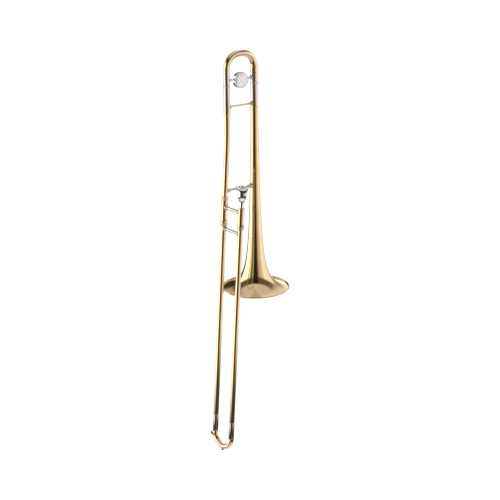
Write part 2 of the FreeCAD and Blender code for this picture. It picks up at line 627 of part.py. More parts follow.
def brace_flange(x_face, inwards, z, brace_r, flange_r, length, depth, reach, cutter):
    """Foot with a socket; x_face is the surface it stands on, inwards is +1 or -1."""
    bore = brace_r + SOLDER_GAP

    def at(distance):
        return x_face + inwards * distance

    shape = turned_across([
        (at(-reach), 0), (at(-reach), flange_r), (at(FLANGE_PLATE), flange_r),
        (at(FLANGE_PLATE + 1.5), flange_r * 0.78), (at(length), bore + SOCKET_WALL),
        (at(length), bore), (at(length - depth), bore), (at(length - depth), 0)], z)
    shape = shape.cut(cutter)
    tip = V(at(length - 0.5), 0, z + bore + SOCKET_WALL / 2)
    return [s for s in shape.Solids if s.isInside(tip, 1e-3, True)][0]


def make_lower_brace_flange_neck():
    neck, _ = lower_brace_ends()
    cutter = lofted(grown(gooseneck_stations(), SOLDER_GAP))
    return brace_flange(neck, 1, LOWER_BRACE_Z, LOWER_BRACE_R, LOWER_FLANGE_R,
                        LOWER_FLANGE_LENGTH, LOWER_SOCKET_DEPTH, GOOSENECK_FOOT_R, cutter)


def make_lower_brace_flange_bell():
    _, bell = lower_brace_ends()
    return brace_flange(bell, -1, LOWER_BRACE_Z, LOWER_BRACE_R, LOWER_FLANGE_R,
                        LOWER_FLANGE_LENGTH, LOWER_SOCKET_DEPTH, LOWER_FLANGE_R,
                        bell_envelope(SOLDER_GAP))


def make_lower_brace_tube():
    neck, bell = lower_brace_ends()
    end = LOWER_FLANGE_LENGTH - LOWER_SOCKET_DEPTH + SOLDER_GAP
    a, b = neck + end, bell - end
    middle, bead = (a + b) / 2, LOWER_BRACE_R + 1.3
    r_in = LOWER_BRACE_R - LOWER_BRACE_WALL
    return turned_across([
        (a, r_in), (a, LOWER_BRACE_R), (middle - 3, LOWER_BRACE_R), (middle - 1.6, bead),
        (middle + 1.6, bead), (middle + 3, LOWER_BRACE_R), (b, LOWER_BRACE_R), (b, r_in)],
        LOWER_BRACE_Z)


# ---- inner slide ----------------------------------------------------------------------------
def tenon_radius(s):
    share = (s - TENON_FOOT_S) / (RECEIVER_TOP_S + 0.2 - TENON_FOOT_S)
    return TENON_FOOT_R + (TENON_TOP_R - TENON_FOOT_R) * share


def make_slide_receiver():
    top, foot = RECEIVER_TOP_S, TENON_FOOT_S - 0.5
    seat_r = INNER_TUBE_R + SOLDER_GAP
    collar_top, neck_r = BARREL_TOP_S + RECEIVER_COLLAR_HEIGHT, RECEIVER_R + RECEIVER_NECK_WALL
    return turned([
        (seat_r, RECEIVER_FOOT_S), (RECEIVER_R, RECEIVER_FOOT_S), (RECEIVER_R, BARREL_TOP_S),
        (RECEIVER_COLLAR_R, BARREL_TOP_S), (RECEIVER_COLLAR_R, collar_top), (neck_r, collar_top + 0.4),
        (neck_r, THREAD_FOOT_S - 0.4), (THREAD_R, THREAD_FOOT_S), (THREAD_R, top),
        (tenon_radius(top) + TENON_CLEARANCE, top),
        (tenon_radius(foot) + TENON_CLEARANCE, foot), (INNER_TUBE_BORE_R, foot),
        (INNER_TUBE_BORE_R, INNER_TOP_S), (seat_r, INNER_TOP_S)])


def shank_radius(s):
    return MOUTH_SHANK_R - MOUTH_SHANK_TAPER * (MOUTH_RECEIVER_TOP_S - s)


def make_mouthpiece_receiver():
    top = MOUTH_RECEIVER_TOP_S
    seat_r = INNER_TUBE_R + SOLDER_GAP
    pipe_top = MOUTH_RECEIVER_TOP_S - MOUTH_SEAT - 0.5
    seat_top = min(INNER_TOP_S, pipe_top)
    bore = [(shank_radius(s) + MOUTH_CLEARANCE, s) for s in (top, seat_top)]
    return turned([
        (seat_r, RECEIVER_FOOT_S), (RECEIVER_R, RECEIVER_FOOT_S), (RECEIVER_R, BARREL_TOP_S),
        (MOUTH_RECEIVER_R - 0.6, BARREL_TOP_S), (MOUTH_RECEIVER_R, BARREL_TOP_S + 0.8),
        (MOUTH_RECEIVER_R, top - 0.7), (MOUTH_RECEIVER_R - 0.7, top)] + bore
        + [(seat_r, seat_top)], SLIDE_SPACING)


def make_cork_barrel(x, foot):
    return tube(BARREL_R, BARREL_BORE_R, foot, BARREL_TOP_S, x)


def make_barrel_ring():
    bore = BARREL_R + SOLDER_GAP
    z0, z1 = BARREL_FOOT_S - 3.0, BARREL_FOOT_S - 3.0 + BARREL_RING_LENGTH
    r = BARREL_RING_R
    return turned([(bore, z0), (r - 0.8, z0), (r, z0 + 0.8), (r, z0 + 3.2), (r - 0.7, z0 + 4.0),
                   (r - 0.7, z1 - 3.0), (r, z1 - 2.2), (r - 0.6, z1), (bore, z1)], SLIDE_SPACING)


def make_inner_tube(x, top):
    return tube(INNER_TUBE_R, INNER_TUBE_BORE_R, INNER_END_S, top - SOLDER_GAP, x)


def make_stocking(x):
    bore = INNER_TUBE_R + SOLDER_GAP / 3
    return tube(OUTER_BORE_R - SLIDE_CLEARANCE, bore, INNER_END_S, INNER_END_S + STOCKING_LENGTH, x)


def mouth_tube_top():
    return min(INNER_TOP_S, MOUTH_RECEIVER_TOP_S - MOUTH_SEAT - 0.5)


def make_leadpipe():
    r_out = INNER_TUBE_BORE_R - LEADPIPE_CLEARANCE
    top = mouth_tube_top() - 0.2
    return turned([(r_out - LEADPIPE_WALL, LEADPIPE_FOOT_S), (r_out, LEADPIPE_FOOT_S), (r_out, top),
                   (shank_radius(top), top), (r_out - 2.2 * LEADPIPE_WALL, top - 20)], SLIDE_SPACING)


def make_cork_ring(x):
    return tube(BARREL_BORE_R - TENON_CLEARANCE, INNER_TUBE_R + 0.06, RECEIVER_FOOT_S - CORK_LENGTH,
                RECEIVER_FOOT_S - 0.02, x)


def slide_brace_flange(x_axis, inwards, s, r_tube):
    reach = r_tube * 0.6
    cutter = rod(r_tube + SOLDER_GAP, s - 30, s + 30, x_axis)
    return brace_flange(x_axis + inwards * r_tube, inwards, s, SLIDE_BRACE_R, SLIDE_FLANGE_R,
                        SLIDE_FLANGE_LENGTH, SLIDE_FLANGE_LENGTH - FLANGE_PLATE, reach, cutter)


def make_slide_brace_tube(s, r_tube):
    a = r_tube + FLANGE_PLATE + SOLDER_GAP
    b = SLIDE_SPACING - a
    r_in = SLIDE_BRACE_R - SLIDE_BRACE_WALL
    return turned_across([(a, r_in), (a, SLIDE_BRACE_R), (b, SLIDE_BRACE_R), (b, r_in)], s)


# ---- slide lock -----------------------------------------------------------------------------
def make_slide_lock_ring():
    lip_top = LOCK_FOOT_S + LOCK_LIP
    bore = BARREL_R + LOCK_CLEARANCE
    ring = turned([
        (LOCK_LIP_BORE_R, LOCK_FOOT_S), (LOCK_R - 1.0, LOCK_FOOT_S), (LOCK_R, LOCK_FOOT_S + 1.0),
        (LOCK_R, LOCK_TOP_S - 4.5), (LOCK_R - 0.8, LOCK_TOP_S - 3.6), (LOCK_R - 0.8, LOCK_TOP_S - 0.8),
        (LOCK_R - 1.4, LOCK_TOP_S), (bore, LOCK_TOP_S), (bore, BARREL_FOOT_S),
        (LOCK_RECESS_R, BARREL_FOOT_S), (LOCK_RECESS_R, lip_top), (LOCK_LIP_BORE_R, lip_top)])
    wedge = Part.makeCylinder(LOCK_RECESS_R, LOCK_LIP + 1, V(0, 0, LOCK_FOOT_S - 0.5), V(0, 0, 1),
                              2 * LOCK_SLOT_HALF_DEG)
    wedge.rotate(V(0, 0, 0), V(0, 0, 1), STUD_DEG - LOCK_SLOT_HALF_DEG)
    angle = math.radians(LOCK_NUB_DEG)
    out = V(math.cos(angle), math.sin(angle), 0)
    root = LOCK_R - 1.0
    nub = Part.makeCylinder(LOCK_NUB_R, 1.0 + LOCK_NUB_REACH,
                            out * root + V(0, 0, LOCK_FOOT_S + 7.0), out)
    return ring.cut(wedge).fuse(nub).removeSplitter()


# ---- outer slide ----------------------------------------------------------------------------
def make_outer_tube(x):
    return tube(OUTER_R, OUTER_BORE_R, OUTER_FOOT_S, OUTER_TOP_S, x)


def make_end_ring(x, with_stud):
    bore, sleeve_r, ring_r = OUTER_R + SOLDER_GAP, END_SLEEVE_R, END_RING_R
    foot = BARREL_FOOT_S - STUD_HEIGHT - 1.5
    step = OUTER_TOP_S - END_RING_LENGTH
    ring = turned([(bore, foot), (sleeve_r, foot), (sleeve_r, step), (ring_r, step + 0.4),
                   (ring_r, OUTER_TOP_S), (bore, OUTER_TOP_S)], x)
    if with_stud:
        angle = math.radians(STUD_DEG)
        p = ((bore + 0.1) * math.cos(angle), (bore + 0.1) * math.sin(angle))
        reach = LOCK_RECESS_R - 0.5
        q = (reach * math.cos(angle), reach * math.sin(angle))
        top = BARREL_FOOT_S - 0.5
        ring = ring.fuse(bar(p, q, STUD_WIDTH, top - STUD_HEIGHT + 0.2, top))
    return ring.cut(rod(bore, foot - 1, OUTER_TOP_S + 1, x)).removeSplitter()


def make_oversleeve(x):
    z0, z1 = OUTER_FOOT_S, OUTER_FOOT_S + OVERSLEEVE_LENGTH
    r, bore = OVERSLEEVE_R, OVERSLEEVE_BORE_R
    return turned([(bore, z0), (r, z0), (r, z1 - 1.0), (bore + 0.15, z1), (bore, z1)], x)


def half_torus(radius):
    face = Part.Face(Part.Wire(Part.makeCircle(radius, V(0, 0, OUTER_FOOT_S), V(0, 0, 1))))
    return face.revolve(SLIDE_BOW_CENTRE, V(0, -1, 0), 180)


def drain_point():
    """Where the drain leaves the bow, on the bow's centre line at the key's height."""
    drop = OUTER_FOOT_S - KEY_S
    half = SLIDE_SPACING / 2
    return V(half - math.sqrt(half * half - drop * drop), 0, KEY_S)


def drain_hole(radius, reach):
    return Part.makeCylinder(radius, reach, drain_point(), V(0, -1, 0))


def make_slide_bow():
    return half_torus(SLIDE_BOW_R).cut(half_torus(OUTER_BORE_R)).cut(drain_hole(KEY_DRAIN_R, 20))


def bow_cutter():
    return half_torus(SLIDE_BOW_R + SOLDER_GAP)


def bow_bottom():
    return OUTER_FOOT_S - SLIDE_SPACING / 2 - SLIDE_BOW_R


def make_bumper_socket():
    foot = bow_bottom() - BUMPER_SOCKET_LENGTH
    body = rod(BUMPER_SOCKET_R, foot, bow_bottom() + 2.5, SLIDE_SPACING / 2)
    seat = rod(BUMPER_R + DETAIL_GAP, foot - 1, foot + BUMPER_SEAT, SLIDE_SPACING / 2)
    return body.cut(bow_cutter()).cut(seat).Solids[0]


def make_rubber_bumper():
    top = bow_bottom() - BUMPER_SOCKET_LENGTH + BUMPER_SEAT - DETAIL_GAP
    foot = top - BUMPER_LENGTH
    return turned([(0, top), (BUMPER_R, top), (BUMPER_R, foot + 1.8), (BUMPER_R - 0.7, foot + 0.6),
                   (BUMPER_R - 2.0, foot), (0, foot)], SLIDE_SPACING / 2)


# ---- water key ------------------------------------------------------------------------------
def make_water_key_nipple():
    centre = drain_point()
    body = Part.makeCylinder(KEY_NIPPLE_R, KEY_NIPPLE_REACH - 4, centre - V(0, 4, 0), V(0, -1, 0))
    return body.cut(bow_cutter()).cut(drain_hole(KEY_DRAIN_R, 20)).Solids[0]


def make_water_key_saddle():
    half = KEY_HINGE_LENGTH / 2 + KEY_SIDE_PLAY
    root = (KEY_HINGE_X * 0.2, KEY_HINGE_Y * 0.2)
    hinge = (KEY_HINGE_X, KEY_HINGE_Y)
    foot_end = (KEY_HINGE_X * 0.76, KEY_HINGE_Y * 0.76)
    shape = bar(root, foot_end, 2 * KEY_POST_HALF_WIDTH, KEY_S - half - KEY_POST, KEY_S + half + KEY_POST)
    for z0 in (KEY_S - half - KEY_POST, KEY_S + half):
        shape = shape.fuse(bar(root, hinge, 2 * KEY_POST_HALF_WIDTH, z0, z0 + KEY_POST))
        shape = shape.fuse(rod(KEY_POST_HALF_WIDTH, z0, z0 + KEY_POST, *hinge))
    shape = shape.cut(bow_cutter()).cut(rod(OVERSLEEVE_R + SOLDER_GAP, OUTER_FOOT_S, OUTER_FOOT_S + 20))
    shape = shape.cut(rod(KEY_SCREW_R + DETAIL_GAP, KEY_S - 20, KEY_S + 20, *hinge))
    return max(shape.Solids, key=lambda s: s.Volume)


def make_water_key_screw():
    top = KEY_S + KEY_HINGE_LENGTH / 2 + KEY_SIDE_PLAY + KEY_POST + DETAIL_GAP
    foot = KEY_S - KEY_HINGE_LENGTH / 2 - KEY_SIDE_PLAY - KEY_POST - 0.4
    x, y = KEY_HINGE_X, KEY_HINGE_Y
    head = rod(KEY_SCREW_HEAD_R, top, top + KEY_SCREW_HEAD, x, y)
    slot = Part.makeBox(6, 0.6, 1, V(x - 3, y - 0.3, top + KEY_SCREW_HEAD - 0.6))
    return rod(KEY_SCREW_R, foot, top, x, y).fuse(head).cut(slot).removeSplitter()


def key_cup_face():
    return -(KEY_NIPPLE_REACH + KEY_SIDE_PLAY + KEY_PAD)


def make_water_key_cork():
    centre = drain_point() + V(0, -KEY_NIPPLE_REACH - KEY_SIDE_PLAY, 0)
    return Part.makeCylinder(KEY_PAD_R, KEY_PAD, centre, V(0, -1, 0))


def make_water_key_lever():
    centre = drain_point()
    cup_y = key_cup_face()
    hinge = (KEY_HINGE_X, KEY_HINGE_Y)
    z0, z1 = KEY_S - KEY_ARM_HALF_WIDTH, KEY_S + KEY_ARM_HALF_WIDTH
    cup = Part.makeCylinder(KEY_CUP_R, KEY_CUP + 1.0, centre + V(0, cup_y + 1.0, 0), V(0, -1, 0))
    cup = cup.cut(Part.makeCylinder(KEY_PAD_R + 0.1, 3, centre + V(0, cup_y, 0), V(0, 1, 0)))
    knee = (centre.x, cup_y - KEY_CUP + KEY_ARM / 2)
    bend = (KEY_HINGE_X * 0.6, cup_y + 1.0)
    tip = (KEY_HINGE_X - KEY_TOUCH_REACH, KEY_HINGE_Y + 2.0)
    barrel = rod(KEY_HINGE_R, KEY_S - KEY_HINGE_LENGTH / 2, KEY_S + KEY_HINGE_LENGTH / 2, *hinge)
    touch = Part.makeCylinder(KEY_TOUCH_R, KEY_ARM, V(tip[0], tip[1] - KEY_ARM / 2, KEY_S), V(0, 1, 0))
    shape = barrel.fuse([cup, touch, bar(knee, bend, KEY_ARM, z0, z1), bar(bend, hinge, KEY_ARM, z0, z1),
                         bar(hinge, tip, KEY_ARM, z0, z1), rod(KEY_ARM / 2, z0, z1, *bend)])
    shape = shape.cut(Part.makeCylinder(KEY_PAD_R + 0.1, 3, centre + V(0, cup_y, 0), V(0, 1, 0)))
    shape = shape.cut(rod(KEY_SCREW_R + DETAIL_GAP, KEY_S - 20, KEY_S + 20, *hinge))
    return shape.removeSplitter()


def make_water_key_spring():
    top = KEY_S + KEY_HINGE_LENGTH / 2 - 0.1 - KEY_SPRING_WIRE_R
    radius = KEY_HINGE_R + DETAIL_GAP + KEY_SPRING_WIRE_R
    coils = [Part.makeTorus(radius, KEY_SPRING_WIRE_R, V(KEY_HINGE_X, KEY_HINGE_Y, top - 0.7 * i))
             for i in range(3)]
    return coils[0].fuse(coils[1:])


# ---- mouthpiece -----------------------------------------------------------------------------
def make_mouthpiece():
    rim, r = MOUTH_RIM_S, MOUTH_RIM_R
    mouth = MOUTH_RECEIVER_TOP_S
    tip = mouth - MOUTH_SEAT
    floor = rim - MOUTH_CUP_DEPTH
    edge = MOUTH_CUP_R
    outline = [(shank_radius(tip), tip), (shank_radius(mouth), mouth), (shank_radius(mouth) + 0.3, mouth + 4),
               (shank_radius(mouth) + 0.55, mouth + 14), (shank_radius(mouth) + 1.45, mouth + 20),
               (edge - 2.5, rim - 36), (edge - 0.1, rim - 31), (edge + 1.2, rim - 23),
               (edge + 1.9, rim - 15), (r - 2.0, rim - 6.0), (r - 0.3, rim - 3.4),
               (r, rim - 2.2), (r - 0.5, rim - 1.0), (r - 1.6, rim - 0.2), (r - 2.8, rim),
               (edge + 1.6, rim - 0.5), (edge + 0.4, rim - 1.6), (edge, rim - 3.0),
               (edge - 0.4, rim - 8), (edge - 1.8, rim - 13), (edge - 4.6, rim - 18),
               (MOUTH_THROAT_R + 1.2, floor + 1.2), (MOUTH_THROAT_R, floor - 3),
               (MOUTH_THROAT_R, floor - 10), (shank_radius(tip) - 0.9, tip)]
    return turned(outline, SLIDE_SPACING)


# ---- assembly -------------------------------------------------------------------------------
def build():
    far, near = 0.0, SLIDE_SPACING
    shell = bell_shell()
    bell_frame = {
        "bell_flare": make_bell_flare(shell),
        "bell_stem": make_bell_stem(shell),
        "bell_rim_wire": make_bell_rim_wire(),
        "bell_tail_ferrule": make_join_ring(BELL_SLEEVE_R, join_ring_foot_r(), 0.0),
        "tuning_sleeve_bell_side": make_sleeve(BELL_SLEEVE_BORE_R, 0.0),
        "tuning_sleeve_neck_side": make_sleeve(NECK_SLEEVE_BORE_R, NECK_X),
        "neck_ferrule": make_join_ring(NECK_SLEEVE_R, NECK_SLEEVE_R, NECK_X),
        "gooseneck": make_gooseneck(),
        "upper_brace": make_upper_brace(),
        "lower_brace_tube": make_lower_brace_tube(),
        "lower_brace_flange_bell_side": make_lower_brace_flange_bell(),
        "lower_brace_flange_neck_side": make_lower_brace_flange_neck(),
        "tuning_bow": make_tuning_bow(),
        "tuning_ferrule_bell_side": make_tuning_ferrule(BELL_LEG_R, 0.0),
        "tuning_ferrule_neck_side": make_tuning_ferrule(NECK_LEG_R, NECK_X),
        "tuning_leg_bell_side": make_tuning_leg(BELL_LEG_R, 0.0),
        "tuning_leg_neck_side": make_tuning_leg(NECK_LEG_R, NECK_X),
        "tuning_collar_bell_side": make_tuning_collar(BELL_LEG_R, 0.0),
        "tuning_collar_neck_side": make_tuning_collar(NECK_LEG_R, NECK_X),
        "weight_rod": make_weight_rod(),
        "balance_weight_front": make_weight_front(),
        "balance_weight_back": make_weight_back(),
        "balance_weight_screw": make_weight_screw(),
    }
    slide_frame = {
        "neck_tenon": make_neck_tenon(),
        "bell_lock_nut": make_bell_lock_nut(),
        "slide_receiver": make_slide_receiver(),
        "mouthpiece_receiver": make_mouthpiece_receiver(),
        "cork_barrel_bell_side": make_cork_barrel(far, BARREL_FOOT_S),
        "cork_barrel_mouthpiece_side": make_cork_barrel(near, BARREL_FOOT_S),
        "barrel_ring": make_barrel_ring(),
        "inner_tube_bell_side": make_inner_tube(far, INNER_TOP_S),
        "inner_tube_mouthpiece_side": make_inner_tube(near, mouth_tube_top()),
        "stocking_bell_side": make_stocking(far),
        "stocking_mouthpiece_side": make_stocking(near),
        "leadpipe": make_leadpipe(),
        "cork_ring_bell_side": make_cork_ring(far),
        "cork_ring_mouthpiece_side": make_cork_ring(near),
        "inner_brace_tube": make_slide_brace_tube(INNER_BRACE_S, BARREL_R),
        "inner_brace_flange_bell_side": slide_brace_flange(far, 1, INNER_BRACE_S, BARREL_R),
        "inner_brace_flange_mouthpiece_side": slide_brace_flange(near, -1, INNER_BRACE_S, BARREL_R),
        "slide_lock_ring": make_slide_lock_ring(),
        "outer_tube_bell_side": make_outer_tube(far),
        "outer_tube_mouthpiece_side": make_outer_tube(near),
        "outer_end_ring_bell_side": make_end_ring(far, True),
        "outer_end_ring_mouthpiece_side": make_end_ring(near, False),
        "outer_brace_tube": make_slide_brace_tube(OUTER_BRACE_S, OUTER_R),
        "outer_brace_flange_bell_side": slide_brace_flange(far, 1, OUTER_BRACE_S, OUTER_R),
        "outer_brace_flange_mouthpiece_side": slide_brace_flange(near, -1, OUTER_BRACE_S, OUTER_R),
        "oversleeve_bell_side": make_oversleeve(far),
        "oversleeve_mouthpiece_side": make_oversleeve(near),
        "slide_bow": make_slide_bow(),
        "bumper_socket": make_bumper_socket(),
        "rubber_bumper": make_rubber_bumper(),
        "water_key_nipple": make_water_key_nipple(),
        "water_key_saddle": make_water_key_saddle(),
        "water_key_screw": make_water_key_screw(),
        "water_key_lever": make_water_key_lever(),
        "water_key_cork": make_water_key_cork(),
        "water_key_spring": make_water_key_spring(),
        "mouthpiece": make_mouthpiece(),
    }
    for shape in slide_frame.values():
        shape.Placement = SLIDE_FRAME.multiply(shape.Placement)
    return {**bell_frame, **slide_frame}


os.makedirs("parts", exist_ok=True)
for node, solid in build().items():
    if solid.ShapeType == "Compound" and len(solid.Solids) == 1:
        solid = solid.Solids[0]
    box = solid.BoundBox
    print(f"{node:36s} {solid.ShapeType:9s} valid={solid.isValid()} solids={len(solid.Solids)} "
          f"vol={solid.Volume:10.1f}  z {box.ZMin:7.1f} .. {box.ZMax:7.1f}")
    solid.exportStep(f"parts/{node}.step")
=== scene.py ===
# %% [markdown]
# # Tenor trombone
# A trombone is almost nothing but thin round tube: drawn, turned or bent round a mandrel.
# So this notebook needs few tools: a lathe, a tube that follows a route, and a rule for the
# bell. The plain model is loaded first and stays as the frame that everything rides on.

# %% Load the frame
import bmesh
import bpy
import math
import numpy as np
from mathutils import Matrix, Vector


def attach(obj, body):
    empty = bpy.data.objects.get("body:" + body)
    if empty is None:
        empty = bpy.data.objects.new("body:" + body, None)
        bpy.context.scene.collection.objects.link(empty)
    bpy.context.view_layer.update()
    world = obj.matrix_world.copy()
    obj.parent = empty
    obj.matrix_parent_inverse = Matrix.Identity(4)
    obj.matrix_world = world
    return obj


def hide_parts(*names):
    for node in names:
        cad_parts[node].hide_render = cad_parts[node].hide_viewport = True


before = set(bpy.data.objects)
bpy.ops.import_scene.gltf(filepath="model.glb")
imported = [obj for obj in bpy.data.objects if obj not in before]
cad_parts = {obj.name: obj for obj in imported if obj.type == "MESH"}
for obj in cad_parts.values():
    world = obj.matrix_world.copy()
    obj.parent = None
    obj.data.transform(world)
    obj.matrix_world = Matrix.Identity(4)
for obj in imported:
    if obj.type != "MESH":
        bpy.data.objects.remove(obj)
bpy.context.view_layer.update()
MM = 0.001
scene = bpy.context.scene

# %% [markdown]
# ## Sizes
# The sizes are the maker's own, in millimetres. The bell hangs mouth down with the centre of
# its rim at the origin. The hand slide has a frame of its own: Z runs up its bell-side tube and
# X crosses to the mouthpiece-side tube.

# %% Sizes shared by several pieces
RIM_R, BEAD_R, BELL_WALL = 101.6, 1.9, 0.6
FLARE_OFFSET, TAIL_Z, TAIL_R = 13.0, 543.0, 10.25
NECK_X, SLIDE_X = -96.0, 75.0
SPLAY, TURN, BEND_Z = math.radians(3.8), math.radians(-86.0), 475.0
NECK_LEG_R, BELL_LEG_R = 8.35, 9.95
NECK_SLEEVE_R, BELL_SLEEVE_R = 8.9, 10.5
UPPER_Z, LOWER_Z, WEIGHT_Z = 559.0, 317.0, 634.0             # the three cross rods
COLLAR_WALL, SOLDER_GAP = 0.58, 0.03
BARREL_R, OUTER_R, OUTER_BORE_R, INNER_R = 9.3, 7.425, 7.025, 6.75
OUTER_FOOT_S, BOW_R, KEY_S = -431.5, 7.8, -444.5
NECK_FOOT_S, NECK_FOOT_R, NECK_TOP_R = 288.0, 7.2, 8.75      # the gooseneck's two ends


def slide_frame():
    """Place of the hand slide in the instrument, as a matrix in millimetres."""
    up = Vector((math.sin(SPLAY), 0, math.cos(SPLAY)))
    across = Vector((math.cos(TURN), math.sin(TURN), 0))
    across = (across - up * across.dot(up)).normalized()
    side = up.cross(across)
    base = Vector((NECK_X, 0, BEND_Z)) - up * BEND_Z
    rows = [[across[i], side[i], up[i], base[i]] for i in range(3)]
    return Matrix(rows + [[0, 0, 0, 1]])


SLIDE = slide_frame()
STAND = Matrix.Identity(4)
print("slide foot:", [round(c) for c in SLIDE @ Vector((0, 0, OUTER_FOOT_S))])


def shifted(place, x=0.0, y=0.0, z=0.0):
    return place @ Matrix.Translation((x, y, z))


ALONG_X = Matrix.Rotation(math.radians(90), 4, "Y")       # turns a lathe axis from Z to +X
TO_FRONT = Matrix.Rotation(math.radians(90), 4, "X")      # turns a lathe axis from Z to -Y

# %% [markdown]
# ## Camera, floor and light
# The instrument is shown a little from above and from the slide's side. Polished metal shows
# only what surrounds it, so the studio is what paints it. The world is a tent with bright and
# dim parts: a dark gap in front, where the room is open, white panels at its sides, and a dark
# edge further back that draws the outlines. The lens itself sees plain white past the floor.

# %% Camera
CAMERA_AZ, CAMERA_EL, CAMERA_ROLL = math.radians(36.307), math.radians(18.628), -0.008478
CAMERA_AIM = Vector((-0.01992, 0.0, 0.12032))
CAMERA_REACH, CAMERA_LENS = 3.5193, 85.6


def add_camera():
    forward = Vector((math.sin(CAMERA_AZ) * math.cos(CAMERA_EL),
                      math.cos(CAMERA_AZ) * math.cos(CAMERA_EL), -math.sin(CAMERA_EL)))
    right = Vector((math.cos(CAMERA_AZ), -math.sin(CAMERA_AZ), 0))
    up = right.cross(forward)
    across = right * math.cos(CAMERA_ROLL) + up * math.sin(CAMERA_ROLL)
    above = up * math.cos(CAMERA_ROLL) - right * math.sin(CAMERA_ROLL)
    place = CAMERA_AIM - forward * CAMERA_REACH
    rows = [[across[i], above[i], -forward[i], place[i]] for i in range(3)]
    camera = bpy.data.objects.new("camera", bpy.data.cameras.new("camera"))
    camera.data.lens, camera.data.sensor_width = CAMERA_LENS, 36.0
    camera.matrix_world = Matrix(rows + [[0, 0, 0, 1]])
    scene.collection.objects.link(camera)
    scene.camera = camera
    print("camera at", [round(c, 2) for c in camera.location])


add_camera()


# %% Node helpers
def add_node(tree, kind, **sockets):
    """New node; sockets named in keywords are set, with _ for a space."""
    made = tree.nodes.new(kind)
    for name, value in sockets.items():
        made.inputs[name.replace("_", " ")].default_value = value
    return made


def math_node(tree, operation, *values):
    made = tree.nodes.new("ShaderNodeMath")
    made.operation = operation
    for index, value in enumerate(values):
        if hasattr(value, "is_output"):
            tree.links.new(value, made.inputs[index])
        else:
            made.inputs[index].default_value = value
    return made.outputs[0]


def ramp_node(tree, factor, stops):
    """Colour ramp; each stop is a position and a colour."""
    ramp = tree.nodes.new("ShaderNodeValToRGB")
    ramp.color_ramp.interpolation = "LINEAR"
    elements = ramp.color_ramp.elements
    while len(elements) < len(stops):
        elements.new(0.5)
    for element, (position, colour) in zip(elements, stops):
        element.position, element.color = position, (*colour, 1)
    tree.links.new(factor, ramp.inputs["Fac"])
    return ramp.outputs["Color"]


print("node helpers ready")

# %% [markdown]
# ## Tent
# The tent is written as brightness by bearing, in two bands: a low one that upright tubes show,
# and a high one that the bell's flare shows. A ceiling, a shaded skirt and the bright ground
# under the instrument close it.

# %% Brightness of the tent
CEILING_LEVEL, SHADE_LEVEL, UNDER_LEVEL, BACKDROP_LEVEL = 0.64, 0.06, 0.8, 1.1
# Height of a ray where one part of the tent blends into the next.
BAND_BLEND, CEILING_BLEND = (0.34, 0.52), (0.74, 0.86)
SHADE_BLEND, UNDER_BLEND = (-0.52, -0.37), (-0.76, -0.60)
# Bearing round the instrument from the camera, in degrees, and how bright the tent is there.
# The low band is the white sweep and the panels that upright tubes show.
LOW_BAND = ((-180, 1.4), (-178, 0.8), (-173, 0.05), (-134, 0.05), (-120, 1.8), (-58, 1.7),
            (-47, 0.38), (-36, 0.12), (-29, 0.22), (-20, 0.03), (15, 0.03), (23, 0.32), (42, 0.64),
            (64, 0.80), (82, 1.2), (106, 1.05), (134, 1.0), (146, 0.42), (160, 0.42), (170, 1.3))
# The high band is the dim room over the panels, still white behind the instrument.
HIGH_BAND = ((-180, 0.95), (-165, 0.6), (-150, 0.16), (-60, 0.10), (-30, 0.08), (-12, 0.02),
             (12, 0.02), (34, 0.12), (96, 0.14), (128, 0.25), (158, 0.8), (180, 0.95))


def warm(level):
    """The darker the room, the browner it is: dim parts are lit by what the brass throws back."""
    share = min(level, 1.0)
    return level, level * (0.78 + 0.22 * share), level * (0.52 + 0.48 * share)


def plain(level):
    return level, level, level


def bearing_band(tree, share, band):
    stops = [((degrees + 180) / 360.0, warm(level)) for degrees, level in band]
    return ramp_node(tree, share, stops)


def tent_mix(tree, height, span, below, above):
    """Blends from one part of the tent to the one over it as a ray's height crosses the span."""
    rise = tree.nodes.new("ShaderNodeMapRange")
    rise.interpolation_type = "SMOOTHSTEP"
    rise.inputs["From Min"].default_value, rise.inputs["From Max"].default_value = span
    tree.links.new(height, rise.inputs["Value"])
    mix = tree.nodes.new("ShaderNodeMix")
    mix.data_type = "RGBA"
    tree.links.new(rise.outputs[0], mix.inputs["Factor"])
    for index, colour in ((6, below), (7, above)):
        if hasattr(colour, "is_output"):
            tree.links.new(colour, mix.inputs[index])
        else:
            mix.inputs[index].default_value = (*colour, 1)
    return mix.outputs[2]


print("low band", len(LOW_BAND), "stops, high band", len(HIGH_BAND), "stops")


